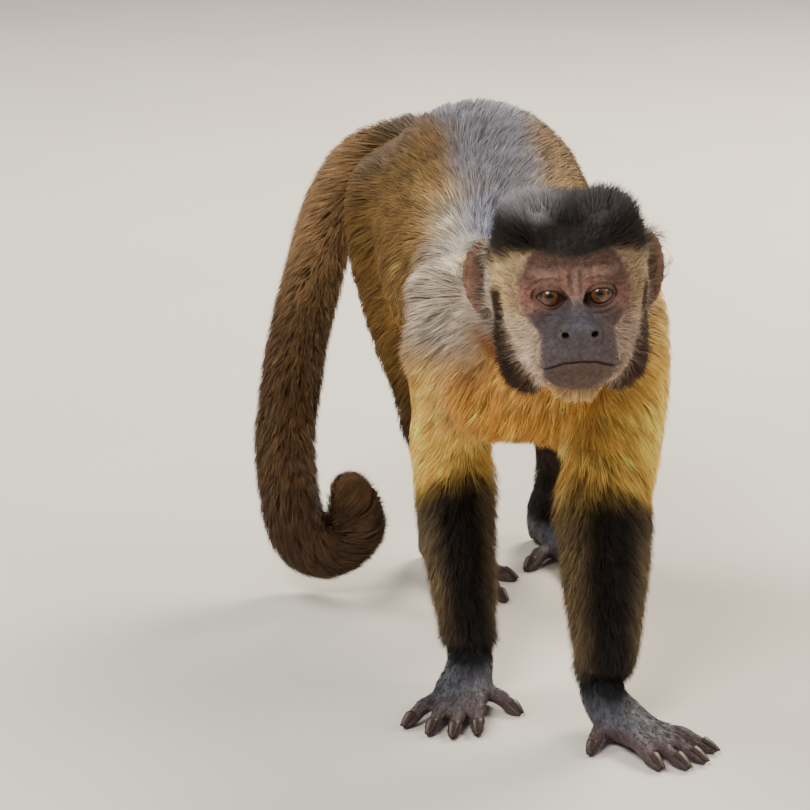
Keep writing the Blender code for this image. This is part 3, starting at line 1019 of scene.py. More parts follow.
# ---- the skin ----
@dataclass
class Skin:
    """The one skin: the body shrunk by its coat's depth, with ears, face, hands and feet of its own."""

    frame: dict
    head: HeadFrame
    ears: tuple[Ear, ...]
    paws: tuple[Paw, ...]
    core_voxel: float = 3.0 * MM
    voxel: float = 1.6 * MM
    shrink_steps: int = 4
    kind_rounds: int = 22  # that soften where one kind of part ends
    lie_rounds: int = 6
    droop: tuple = (0.55, 0.35, 0.25)  # how much the coat hangs on the trunk, on the limbs and on the head
    tip_grown: float = 4.0  # millimetres that the tail's tip stands out, to be smoothed away
    thin_to: int = 190000  # triangles
    surface: Surface = field(init=False)  # as dense as the coat needs
    spare: Array = field(init=False)  # how freely each of its points may go, from 0 to 1
    kinds: Array = field(init=False)  # one column to each name in FLESH, rows summing to 1

    def flesh_nodes(self) -> list[str]:
        """The CAD nodes that the skin stands for."""
        return [name for name in self.frame["nodes"] if not name.startswith("eye")]

    def nearest_node(self, points: Array) -> Array:
        """Which CAD node each point is nearest to.

        Args:
            points: in the row.

        Returns:
            The node's number among those of flesh.
        """
        corners = [points_of(self.frame["nodes"][name].data) for name in self.flesh_nodes()]
        numbers = np.repeat(np.arange(len(corners)), [len(own) for own in corners])
        return numbers[nearest(tree_of(np.vstack(corners)), points)]

    def kind_rows(self, points: Array) -> Array:
        """Which kind of part each point is nearest to, as rows of one 1."""
        kinds = np.array([FLESH.index(kind_of(name)) for name in self.flesh_nodes()])
        return np.eye(len(FLESH))[kinds[self.nearest_node(points)]]

    def head_depth(self, points: Array) -> Array:
        """How deep the head's coat is: thick under the cap, thin on the face.

        Args:
            points: in the row.

        Returns:
            Millimetres.
        """
        local = self.head.local(points)
        cap = ease(20, 34, local[:, 2])
        back = ease(26, 52, local[:, 1])
        face = ease(18, 4, local[:, 1]) * (1.0 - cap)
        depth = 2.4 + 8.0 * cap + 5.0 * back * (1.0 - cap)
        return depth + (1.3 - depth) * face

    def hooked(self, depth: Array, points: Array, tail: Array) -> Array:
        """Less depth on the free limb of the tail's hook, whose tip would melt away.

        Args:
            depth: of the coat at each point, in millimetres.
            points: rows of coordinates.
            tail: which of them are on the tail.

        Returns:
            The depth.
        """
        low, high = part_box("tail_curl")
        x, _, z = points.T
        middle = (low.x + high.x) / 2
        limb = ease(middle, middle + 8 * MM, x) * (z < high.z) * tail
        kept = 1.0 - 0.8 * limb * ease(low.z + 12 * MM, low.z + 30 * MM, z)
        return depth * kept - self.tip_grown * limb * ease(high.z - 16 * MM, high.z - 4 * MM, z)

    def core(self) -> Object:
        """The body without hands, feet and ears, shrunk by its coat's depth.

        Returns:
            The shrunk body.
        """
        bare = ("hand", "foot", "ear")
        names = [name for name in self.flesh_nodes() if not name.startswith(bare)]
        copies = []
        for name in names:
            copy = self.frame["nodes"][name].copy()
            copy.data = copy.data.copy()
            copies.append(copy)
        body = voxel_union("core", copies, self.core_voxel)
        surface = surface_of(body).largest_part()
        kinds = surface.averaged(self.kind_rows(surface.points), 8)
        depth = kinds @ np.array([ZONES[name].depth for name in FLESH])
        head = kinds[:, FLESH.index("head")]
        depth += head * (self.head_depth(surface.points) - ZONES["head"].depth)
        depth = self.hooked(depth, surface.points, kinds[:, FLESH.index("tail")] > 0.5)
        depth = surface.averaged(depth, 6)
        surface.relax(4, 0.5)
        for _ in range(self.shrink_steps):
            inward = unit(surface.averaged(surface.normals(), 4))
            surface.points = surface.points - inward * (depth * MM / self.shrink_steps)[:, None]
            surface.relax(1, 0.4)
        return mesh_object("core", surface.points, surface.triangles)

    def head_parts(self) -> list[Object]:
        """The head's own forms, which stand proud of the shrunk core where the face is bare.

        Returns:
            The closed forms.
        """
        place = self.head.matrix
        made = [ellipsoid(place, centre, radii, 40) for centre, radii in HEAD_FORMS]
        for side in Side:
            for (x, y, z), radii in PAIRED_HEAD_FORMS:
                made.append(ellipsoid(place, (side.value * x, y, z), radii, 40))
        return made

    def thinned(self) -> Surface:
        """The skin with fewer triangles under the coat.

        Returns:
            The skin that is shown.
        """
        obj = mesh_object("thinned", self.surface.points, self.surface.triangles)
        group = obj.vertex_groups.new(name="spare")
        levels = np.round(self.spare * 4).astype(int)
        for level in range(1, 5):
            group.add(np.flatnonzero(levels == level).tolist(), level / 4, "REPLACE")
        decimate = obj.modifiers.new("thin", "DECIMATE")
        decimate.ratio = self.thin_to / len(self.surface.triangles)
        decimate.vertex_group = "spare"
        decimate.vertex_group_factor = 4.0
        return surface_of(settled(obj))

    def refine(self, surface: Surface) -> Surface:
        """Finer triangles over the face, and finer again round eyes, nose and mouth.

        Args:
            surface: the skin as it is.

        Returns:
            The finer skin.
        """
        obj = mesh_object("skin", surface.points, surface.triangles)
        bm = bmesh.new()
        bm.from_mesh(obj.data)
        bpy.data.objects.remove(obj, do_unlink=True)
        for level in range(2):
            centres = np.array([face.calc_center_median() for face in bm.faces])
            x, y, z = self.head.local(centres).T
            if level == 0:
                face = (np.abs(x) < 38) & (y < 22) & (z > -54) & (z < 26)
                chosen = face | ((np.abs(x) > 38) & (y > 28) & (y < 64) & (np.abs(z) < 26))
            else:
                chosen = (np.abs(x) < 25) & (y < 11) & (z > -41) & (z < 13)
            faces = [face for face, hit in zip(bm.faces, chosen.tolist()) if hit]
            edges = list({edge for face in faces for edge in face.edges})
            bmesh.ops.subdivide_edges(bm, edges=edges, cuts=1, use_grid_fill=True)
            bmesh.ops.triangulate(bm, faces=[face for face in bm.faces if len(face.verts) > 3])
        return surface_of(object_of("refined", bm))

    def build(self) -> None:
        """Makes the skin's surface and says which part each of its points belongs to."""
        forms = [self.core(), *self.head_parts(), *(ear.build() for ear in self.ears)]
        for paw in self.paws:
            forms += paw.forms()
        union = voxel_union("skin", forms, self.voxel)
        surface = surface_of(union).largest_part()
        kinds = self.kind_rows(surface.points)
        fine = surface.averaged(kinds, 3) @ np.isin(FLESH, ("head", "ear", "hand", "foot")).astype(float)
        surface.relax(3, 0.5)
        surface.relax(14, 0.6 * (1.0 - fine))
        front = ease(30, 12, self.head.local(surface.points)[:, 1])
        head = kinds[:, FLESH.index("head")] * front
        surface.relax(5, 0.5 * head)
        surface = self.refine(surface)
        head = ease(34, 26, self.head.local(surface.points)[:, 1])
        surface.relax(5, 0.5 * head)
        surface.points = Face(self.head).sculpt(surface.points, surface.normals())
        surface.points[:, 2] = np.maximum(surface.points[:, 2], 0.0)
        self.kinds = surface.averaged(self.kind_rows(surface.points), self.kind_rounds)
        self.surface = surface
        self.spare = np.clip(1.0 - 2.0 * self.share("head", "ear", "hand", "foot"), 0, 1)
        LOG.info("skin: %d points, %d triangles", len(surface.points), len(surface.triangles))

    def share(self, *names: str) -> Array:
        """How much each point of the skin belongs to the named kinds of part."""
        return self.kinds[:, [FLESH.index(name) for name in names]].sum(axis=1)

    def flow(self) -> Array:
        """The lie of the coat at every point: away from the nose over the body, and a little down.

        Returns:
            Unit vectors along the skin.
        """
        surface = self.surface
        tip = self.head.world(np.array([[0.0, -21.0, -11.0]]))
        start = int(np.linalg.norm(surface.points - tip, axis=1).argmin())
        rows = np.repeat(np.arange(len(surface.points)), surface.counts)
        steps = surface.points[surface.near] - surface.points[rows]
        lengths = np.maximum(np.linalg.norm(steps, axis=1), 1e-7)
        reach = np.full(len(surface.points), np.inf)
        reach[start] = 0.0
        queue = [(0.0, start)]
        starts, counts = surface.starts.tolist(), surface.counts.tolist()
        near, spans = surface.near.tolist(), lengths.tolist()
        while queue:
            far, point = heapq.heappop(queue)
            if far > reach[point]:
                continue
            for k in range(starts[point], starts[point] + counts[point]):
                total = far + spans[k]
                if total < reach[near[k]]:
                    reach[near[k]] = total
                    heapq.heappush(queue, (total, near[k]))
        reach = surface.averaged(reach, 14)
        rise = (reach[surface.near] - reach[rows]) / lengths**2
        lie = unit(np.add.reduceat(steps * rise[:, None], surface.starts, axis=0))
        normals = surface.normals()
        trunk, limbs, head = self.droop
        heavy = trunk * self.share("neck", "chest", "abdomen", "rump", "upper_arm", "thigh")
        heavy += limbs * self.share("forearm", "shank") + head * self.share("head")
        lie = lie + heavy[:, None] * np.array([0.0, 0.0, -1.0])
        for _ in range(self.lie_rounds):
            lie -= normals * (lie * normals).sum(axis=1)[:, None]
            lie = surface.averaged(unit(lie), 10)
        return unit(lie - normals * (lie * normals).sum(axis=1)[:, None])


# ---- markings ----
@dataclass(frozen=True)
class Palette:
    """The capuchin's colours, as sRGB hex; some also stand for painted shade, sheen, highlight and rim light.
    """

    cap: str = "1F1917"  # black-brown
    # painted sheen of sunlight on the top of the cap
    cap_sheen: str = "A29CA5"
    strap: str = "2E1A0A"
    pale: str = "CDB388"  # cream of the face's sides
    cheek: str = "D6BDA6"
    chin: str = "D2AC74"
    mask: str = "8B6F64"  # pinkish brown skin round the eyes
    # dark skin and fuzz of the face; also laid on as painted shade
    mask_dark: str = "4E362E"
    brow_red: str = "855040"
    bags: str = "5E4C47"
    muzzle: str = "4F474B"  # grey-lilac
    # grey skin of the nose, tinted bluish as a painted highlight
    nose: str = "4D4E5A"
    lips: str = "554038"
    line: str = "1E1616"
    ear: str = "8A6A58"
    # painted shade in the ears' hollows
    ear_dark: str = "4C342F"
    ear_hair: str = "C2BBB2"
    silver: str = "B9B0A6"
    # dark brown of the neck's hair, also painted shade below the head
    ruff: str = "8A5C2A"
    gold: str = "B5935C"
    wrist: str = "1C1A1C"
    chest: str = "D29A48"
    shoulder: str = "E6C684"
    arm: str = "F4C866"
    forearm: str = "17110D"
    # painted rim light along the forearms' sides
    forearm_edge: str = "7E6B4E"
    hand: str = "4B4D58"
    # grey-brown of the back, tinted bluish as a painted sheen
    finger: str = "5E4641"
    back: str = "848BA1"
    spine: str = "5A5350"
    flank: str = "725629"
    belly: str = "A07434"
    thigh: str = "6E5226"
    shank: str = "33261A"
    tail_base: str = "A0805A"
    tail: str = "62492F"
    tail_tip: str = "3A2A22"

    def row(self, name: str) -> Array:
        """One of the colours, linear."""
        return np.array(linear(getattr(self, name)))


OUTLINES = {  # lines on the head, in millimetres: how far along, and what is there
    "cap_front": ((0, 8, 15, 21, 27, 34, 38), (20.3, 21.0, 22.8, 24.2, 21.8, 17.0, 15.5)),
    "strap_edge": ((-52, -46, -42, -37, -33, -30, -21, -9, 0, 10),
                   (12.5, 17, 21, 24.5, 27.2, 29.3, 32.6, 35.6, 37.4, 38.5)),
    "strap_front": ((-50, -42, -32, 0), (6, 2, -6, -8)),
    "bare_half_width": ((-46, -42, -34, -26, -17, -9, 0, 9, 16, 24),
                        (9, 15.5, 19, 19.5, 19, 25, 29.5, 28.5, 25.5, 21)),
    "thin_half_width": ((-20, -13, -7, 0, 9, 16, 24), (17, 22, 28, 30, 29.5, 26, 21)),
}


def outline(name: str, along: Array) -> Array:
    """What one of the outlines gives at each place along it."""
    return np.interp(along, *OUTLINES[name])


@dataclass
class Markings:
    """Where each colour lies and how the hair grows there, for every point of the skin."""

    skin: Skin
    palette: Palette = Palette()
    hollow_ahead: tuple = (0.0, -0.004, 0.0)  # of an ear's hollow from its middle, in metres
    hollow_size: tuple = (7, 9, 13)  # millimetres
    palm_height: float = 0.012  # below it, what faces down is bare
    facing_rounds: int = 30  # that smooth the normals, to tell which way a whole part faces

    def painted(self, under: Array, *layers: tuple[str, Array]) -> Array:
        """Lays colours over others, one after another.

        Args:
            under: linear colours, one row to a point.
            layers: a colour's name and its weight at every point.

        Returns:
            The colours.
        """
        made = under
        for name, weight in layers:
            made = made + (self.palette.row(name) - made) * np.clip(weight, 0, 1)[:, None]
        return made

    def head_masks(self) -> dict[str, Array]:
        """The regions of the head, as weights, from the head's own millimetres.

        Returns:
            Each region's weight at every point; for the eye, its distance.
        """
        local = self.skin.head.local(self.skin.surface.points)
        x, y, z = np.abs(local[:, 0]), local[:, 1], local[:, 2]
        seen = 0.97 * z + 0.24 * y  # how high it is as seen from the front
        cap = ease(-2.5, 2.5, z - outline("cap_front", x))
        cap = np.maximum(cap, ease(6, 16, z) * ease(24, 32, y))
        cap *= 1.0 - ease(37, 39.5, x) * ease(25, 21, z) * ease(50, 44, y)
        edge = outline("strap_edge", seen)
        behind = ease(-1.5, 1.5, x - edge + 0.9 * np.clip(y - 14, 0, 30))
        behind *= ease(-2, 2, y - outline("strap_front", seen))
        end = 26.0 + 0.1 * (z + 10)
        rear = behind * ease(end, end + 5, y)
        strap = behind * (1.0 - rear) * ease(12, 4, seen) * ease(8, 12, x)
        bare = ease(2.5, -2.5, x - outline("bare_half_width", z)) * ease(14, 9, y)
        bare *= ease(-46.5, -42.5, z) * (1.0 - cap)
        thin = ease(3, -3, x - outline("thin_half_width", z))
        thin *= ease(18, 13, y) * ease(-19, -15, z)
        masks = {
            "cap": cap,
            "strap": strap * (1 - cap),
            "rear": rear * (1 - cap),
            "brink": ease(-9, -2, x - edge) * ease(8, 2, seen) * (1 - behind),
            "bare": bare,
            "thin": thin * (1.0 - cap),
            "muzzle": bare * ease(5, -3, z + 0.5 * x),
            "nose": bare * bump(np.hypot(x / 1.1, z + 9.5), 6),
            "lips": bare * ease(-24, -31, z + 8 * (x / 17.5) ** 2),
            "brow": bare * ease(-2, 4, z),
            "fuzz": np.maximum(bare, thin) * ease(12, 18, z) * ease(29, 22, x),
            "frown": bump(x - 2.6, 1.5) * ease(1, 4, z) * ease(17, 12, z),
            "chin": ease(-42.5, -45.5, z) * ease(19, 14, x) * ease(20, 12, y),
            "cheek": ease(-4, -14, z),
        }
        eye = np.full(len(x), 99.0)
        face = Face(self.skin.head)
        near = np.flatnonzero((x < 30) & (np.abs(z) < 16) & (y < 16))
        for side in Side:
            out = side.value * local[near, 0] - self.skin.head.eye_apart
            edge, _ = face.edge_distance(np.column_stack([out, local[near, 2]]))
            eye[near] = np.minimum(eye[near], edge)
        masks["eye"] = eye
        masks["mouth"] = bump(z - face.mouth_line(local[:, 0]), 0.6) * ease(20, 17.5, x) * (y < 8)
        masks["nostril"] = ease(1.15, 0.7, face.nostril_reach(x, z)) * (y < -6)
        return masks

    def head_colours(self, base: Array, masks: dict[str, Array]) -> Array:
        """The head's colours over those given.

        Args:
            base: the colours under the head's own.
            masks: the head's regions.

        Returns:
            The colours.
        """
        left, y, z = self.skin.head.local(self.skin.surface.points).T
        x = np.abs(left)
        eye, bare, cap = masks["eye"], masks["bare"], masks["cap"]
        both = np.maximum(bare, masks["thin"])
        above = ease(-2, 1, z)
        return self.painted(
            base,
            ("pale", np.ones(len(x))),
            ("cheek", masks["cheek"]),
            ("silver", masks["rear"] * 0.7),
            # painted shade low on the head behind the strap, below the jaw
            ("ruff", masks["rear"] * ease(-8, -20, z)),
            ("silver", ease(38, 46, y) * ease(30, 20, z) * ease(-38, -22, z)),
            ("chest", ease(-44, -50, z) * ease(16, 24, y)),
            ("strap", masks["strap"]),
            ("chin", masks["chin"]),
            ("mask", both),
            ("brow_red", both * bump(np.hypot(x - 23, (z - 1) / 1.3), 7) * 0.6),
            ("brow_red", both * bump(np.hypot(x - 7, z - 7), 5) * 0.5),
            ("mask_dark", both * bump(np.hypot((x - 24.5) / 1.3, z - 11), 4) * 0.75),
            ("bags", both * ease(-3, -7, z) * ease(28, 21, x) * 0.9),
            ("muzzle", masks["muzzle"]),
            # the nose's grey skin, with a painted bluish highlight
            ("nose", masks["nose"] * 0.8),
            ("lips", masks["lips"] * 0.85),
            ("mask_dark", masks["fuzz"] * 0.85),
            ("mask_dark", masks["frown"] * 0.6 * bare),
            # painted shade: the front of the head darker towards its own left side, more where it is bare
            ("mask_dark", ease(4, 27, left) * (0.46 + 0.14 * both) * (y < 34)),
            ("mask_dark", ease(4, 1.2, eye) * (0.35 + 0.35 * above)),
            ("line", ease(1, 0.3, eye) * (0.5 + 0.45 * above)),
            ("line", masks["mouth"] * 0.7),
            ("line", masks["nostril"]),
            ("cap", cap),
            # painted sheen of sunlight on the top of the cap, strongest on the animal's right
            ("cap_sheen", cap * ease(35, 43, z) * (0.12 + 0.55 * ease(14, -24, left))),
        )

    def body_colours(self) -> Array:
        """The colours of trunk, limbs and tail.

        Returns:
            Linear colours, one row to a point.
        """
        surface, share = self.skin.surface, self.skin.share
        x, y, z = surface.points.T
        side, _, up = surface.averaged(surface.normals(), self.facing_rounds).T
        low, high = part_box("chest")
        across = x - (low.x + high.x) / 2
        off = np.abs(across)
        trunk = share("neck", "chest", "abdomen", "rump")
        arms, paws = share("upper_arm", "forearm"), share("hand", "foot")
        beside = ease(0.022, 0.034, off) * ease(0.22, 0.205, z)
        withers = ease(0.178, 0.202, z) * ease(0.02, -0.02, y)
        right = ease(0.02, 0.04, -across) + 0.15 * ease(0.03, 0.045, across)
        outer = ease(-0.66, -0.92, side) * ease(0.15, 0.17, z)
        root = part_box("tail_root")[0].z
        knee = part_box("shank_right")[1].z
        front = ease(0.95, 0.3, np.abs(side))
        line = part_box("forearm_right")[1].z - 0.008 + 0.8 * (0.042 - off)  # higher on the arms' inner sides
        return self.painted(
            sum(share(kind)[:, None] * self.palette.row(zone.colour) for kind, zone in ZONES.items()),
            ("flank", share("chest") * ease(-0.05, -0.015, y)),
            ("gold", 0.75 * share("chest", "abdomen") * bump(up - 0.77, 0.09) * ease(0.09, 0.02, y)),
            ("spine", share("rump", "thigh") * ease(0.3, 0.75, up) * 0.55),
            ("silver", share("chest", "neck") * bump(up - 0.87, 0.09) * ease(0.07, 0.03, y) * 0.8),
            # grey-brown hair where the trunk faces up, with a painted bluish sheen
            ("back", trunk * ease(0.84, 0.97, up)),
            ("spine", trunk * bump(across, 0.018) * ease(0.6, 0.9, up) * 0.5),
            ("belly", share("abdomen", "rump") * ease(0.1, -0.5, up)),
            ("chest", share("chest", "neck") * ease(0.215, 0.185, z) * ease(0.075, 0.035, off)),
            # dark brown beside the neck, partly painted shade below the head
            ("ruff", share("neck") * beside * ease(0.155, 0.172, z) * 0.7),
            ("silver", share("neck", "chest", "upper_arm") * withers * right * 0.9),
            ("flank", 0.7 * share("chest", "upper_arm", "neck") * outer),
            ("tail_base", share("tail") * ease(root - 0.03, root + 0.05, z)),
            ("tail_tip", share("tail") * ease(0.08, 0.05, z) * 0.6),
            ("ruff", arms * ease(line + 0.044, line + 0.012, z) * front * 0.15),
            ("forearm", ease(line + 0.018, line - 0.006, z) * arms * front),
            # painted rim light: paler hair where the forearms face sideways
            ("forearm_edge", ease(line + 0.008, line - 0.02, z) * arms * (1.0 - front) * 0.85),
            ("wrist", paws * ease(0.014, 0.026, z)),
            ("shank", share("thigh") * ease(knee + 0.02, knee - 0.01, z) * 0.7),
            ("finger", 0.6 * paws * ease(0.014, 0.007, z)),
        )

    def ear_colours(self, base: Array) -> Array:
        """Painted shade in the ears' hollows and on their sides towards the head, over the colours given.

        Args:
            base: the colours under them.

        Returns:
            The colours.
        """
        made, ear = base, self.skin.share("ear")
        for side in Side:
            low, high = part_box(f"ear_{side.word}")
            middle = np.array((low + high) / 2) + np.array(self.hollow_ahead)
            away = self.skin.surface.points - middle
            reach = np.linalg.norm(away / np.array(self.hollow_size) / MM, axis=1)
            inner = ease(2, -4, side.value * away[:, 0] / MM)
            beside = np.abs(away[:, 0]) < 12 * MM
            made = self.painted(
                made,
                # painted shade in the hollow and on the side towards the head
                ("ear_dark", 0.8 * ease(1.2, 0.3, reach) * ear),
                ("ear_dark", 0.55 * inner * beside * ear),
            )
        return made

    def ear_rims(self) -> Array:
        """How much each point is on an ear's upper and outer edge, where pale hair stands out.

        Returns:
            Weights from 0 to 1.
        """
        surface = self.skin.surface
        normals = surface.normals()
        made = np.zeros(len(normals))
        for side in Side:
            low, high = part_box(f"ear_{side.word}")
            away = surface.points - np.array((low + high) / 2)
            ear = (np.abs(away) < 30 * MM).all(axis=1) & (away[:, 2] > -8 * MM)
            away[:, 1] = 0.0
            outward = (unit(away) * normals).sum(axis=1) * ear * (normals[:, 1] > -0.15)
            made = np.maximum(made, ease(0.45, 0.8, outward))
        return made * self.skin.share("ear")

    def build(self) -> "Growth":
        """The markings and the coat's measure at every point of the skin.

        Returns:
            What grows on the skin.
        """
        skin, share, points = self.skin, self.skin.share, self.skin.surface.points
        masks = self.head_masks()
        head = ease(0.25, 0.75, share("head"))
        colours = self.body_colours()
        colours += (self.head_colours(colours, masks) - colours) * head[:, None]
        rim = self.ear_rims()
        colours = self.painted(self.ear_colours(colours), ("ear_hair", rim))
        measure = {
            name: skin.kinds @ np.array([getattr(zone, name) for zone in ZONES.values()]) for name in MEASURE
        }
        left, y, z = skin.head.local(points).T
        side, cap = np.abs(left), masks["cap"]
        nape = ease(48, 56, y) * ease(30, 20, z) * ease(-38, -22, z)
        for weight, *values in (
            (masks["brink"], 1.6, 3.4, 0.3, 5.0),
            (masks["strap"], 3.5, 8.0, 0.4, 5.0),
            (masks["strap"] * ease(-14, -30, z), 8.0, 11.5, 0.4, 5.0),
            (masks["rear"], 6.0, 13.0, 0.5, 3.2),
            (cap, 11.0, 14.0, 0.42, 5.0),
            (cap * ease(30, 36, side), 6.5, 11.0, 0.42, 5.0),
            (cap * ease(40, 62, y), 8.0, 15.0, 0.5, 3.2),
            (nape, 13.0, 19.0, 0.42, 4.0),
            (masks["chin"] * ease(16, 6, side), 7.0, 12.0, 0.36, 5.0),
            (masks["thin"], 1.2, 4.0, 0.26, 4.0),
            (masks["bare"], 0.7, 2.4, 0.26, 1.3),
            (masks["fuzz"], 1.0, 3.4, 0.32, 3.0),
            (masks["muzzle"], 0.5, 1.6, 0.22, 0.9),
        ):
            mix(measure, np.clip(weight, 0, 1) * head, *values)
        closed = ease(3, 1.2, masks["eye"]) + masks["nostril"] + masks["mouth"]
        measure["dense"] *= 1 - np.clip(closed, 0, 1)
        mix(measure, rim, 9.5, 11.0, 0.4, 9.0)
        up = skin.surface.averaged(skin.surface.normals(), self.facing_rounds)
        low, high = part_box("chest")
        inward = -np.sign(points[:, 0] - (low.x + high.x) / 2) * up[:, 0]
        inner = ease(0.3, 0.7, inward) * share("upper_arm") * ease(0.165, 0.135, points[:, 2])
        measure["depth"] += 4.2 * share("forearm") + 2.2 * share("tail")
        measure["length"] += 3.5 * share("forearm") + 2.0 * share("tail")
        measure["depth"] += 6.0 * inner
        measure["length"] += 6.0 * inner
        outer = ease(-0.45, -0.8, up[:, 0]) * ease(0.13, 0.16, points[:, 2])
        measure["depth"] -= 7.0 * outer * share("chest", "upper_arm", "neck")
        mix(measure, share("hand", "foot") * ease(0.016, 0.03, points[:, 2]), 3.0, 8.5, 0.4, 2.4)
        under = (skin.surface.normals()[:, 2] < -0.6) & (points[:, 2] < self.palm_height)
        measure["dense"][under] = 0.0
        return Growth(skin, skin.flow(), colours, masks, **measure)


@dataclass
class Growth:
    """What grows at every point of the skin: the lie, colour and measure of the hair."""

    skin: Skin
    lie: Array
    colours: Array
    masks: dict[str, Array]
    depth: Array
    length: Array
    width: Array
    dense: Array


# ---- the coat ----
@dataclass
class Unwrap:
    """A flat layout of the skin: each part seen along the six axes, side by side in one square."""

    skin: Skin
    gap: float = 2 * MM
    patch: float = 0.003  # across one tuft's own patch
    group: Array = field(init=False)  # of each triangle
    offsets: Array = field(init=False)  # of each group, in metres
    scale: float = field(init=False)

    AXES = ((1, 2), (0, 2), (0, 1))  # what is kept, looking along X, Y or Z

    def __post_init__(self) -> None:
        """Packs the views in rows, highest first, in the smallest square that holds them."""
        surface = self.skin.surface
        corners = surface.points[surface.triangles]
        faces = np.cross(corners[:, 1] - corners[:, 0], corners[:, 2] - corners[:, 0])
        axis = np.abs(faces).argmax(axis=1)
        faced = axis * 2 + (np.take_along_axis(faces, axis[:, None], 1)[:, 0] > 0)
        nodes = self.skin.nearest_node(surface.points)[surface.triangles[:, 0]]
        self.group = nodes * 6 + faced
        count = int(self.group.max()) + 1
        low = np.full((count, 2), np.inf)
        high = np.full((count, 2), -np.inf)
        for k in range(3):
            flat = self.flat(self.group, corners[:, k])
            np.minimum.at(low, self.group, flat)
            np.maximum.at(high, self.group, flat)
        used = np.flatnonzero(np.isfinite(low[:, 0]))
        sizes = high - low + self.gap
        order = sorted(used.tolist(), key=lambda k: -sizes[k, 1])
        edge = math.sqrt((sizes[used, 0] * sizes[used, 1]).sum())
        self.offsets = np.zeros((count, 2))
        while not self.packed(order, sizes, low, edge):
            edge *= 1.03
        self.scale = 1.0 / edge

    def packed(self, order: list[int], sizes: Array, low: Array, edge: float) -> bool:
        """Lays the views out in rows; False if a square with that edge is too small.

        Args:
            order: the groups, tallest first.
            sizes: of each, with the gap.
            low: the lowest corner of each.
            edge: of the square, in metres.

        Returns:
            Whether they all fit.
        """
        x = y = tall = 0.0
        for k in order:
            wide, high = sizes[k]
            if x + wide > edge:
                x, y, tall = 0.0, y + tall, 0.0
            self.offsets[k] = (x - low[k, 0], y - low[k, 1])
            x, tall = x + wide, max(tall, high)
        return y + tall <= edge

    def flat(self, group: Array, points: Array) -> Array:
        """Points seen along their group's axis, in metres."""
        kept = np.array(self.AXES)[(group % 6) // 2]
        return np.take_along_axis(points, kept, axis=1)

    def places(self, faces: Array, points: Array) -> Array:
        """Where points on the given triangles lie in the unit square."""
        group = self.group[faces]
        return (self.flat(group, points) + self.offsets[group]) * self.scale

    @staticmethod
    def lay(mesh: Mesh, places: Array) -> None:
        """Gives a mesh its bake map, from a place in the unit square for each of its points.

        Args:
            mesh: that gets the map.
            places: one row to a vertex.
        """
        corners = np.empty(len(mesh.loops), np.int32)
        mesh.loops.foreach_get("vertex_index", corners)
        layer = mesh.uv_layers.new(name="OFBake")
        layer.uv.foreach_set("vector", np.clip(places, 0, 1)[corners].astype(np.float32).ravel())


@dataclass(frozen=True)
class CoatPiece:
    """One piece of the coat: the parts it grows on, its tufts, and the spans that each bends in."""

    name: str
    kinds: tuple[str, ...]
    count: int
    spans: int
    slot: str
    lock: int = 26  # tufts that lean together
    pull: float = 0.36  # how far a tuft's end is drawn to its lock's
    streak: float = 0.2  # how much locks differ in tone


COAT = (
    CoatPiece("coat_head", ("head", "ear"), 60000, 2, "coat_head", 12, 0.15, 0.16),
    CoatPiece("coat_neck", ("neck",), 30000, 3, "coat_body", streak=0.3),
    CoatPiece("coat_chest", ("chest",), 36000, 3, "coat_body", streak=0.3),
    CoatPiece("coat_abdomen", ("abdomen",), 28000, 3, "coat_body"),
    CoatPiece("coat_rump", ("rump",), 32000, 3, "coat_body"),
    CoatPiece("coat_arms_upper", ("upper_arm",), 32000, 3, "coat_arm", streak=0.28),
    CoatPiece("coat_legs_upper", ("thigh",), 28000, 3, "coat_arm"),
    CoatPiece("coat_arms_lower", ("forearm",), 44000, 2, "coat_dark", 14),
    CoatPiece("coat_legs_lower", ("shank", "hand", "foot"), 40000, 2, "coat_dark", 10),
    CoatPiece("coat_tail", ("tail",), 46000, 2, "coat_dark", 14),
)


@dataclass
class Tufts:
    """The tufts of one piece, a row to each; the lists hold an array to each level, root first."""

    faces: Array  # the skin's triangle under each root
    root: Array
    width: Array
    lock: Array  # the number of the lock that each belongs to
    paths: list[Array]
    normals: list[Array]
    lies: list[Array]
    shades: list[Array]


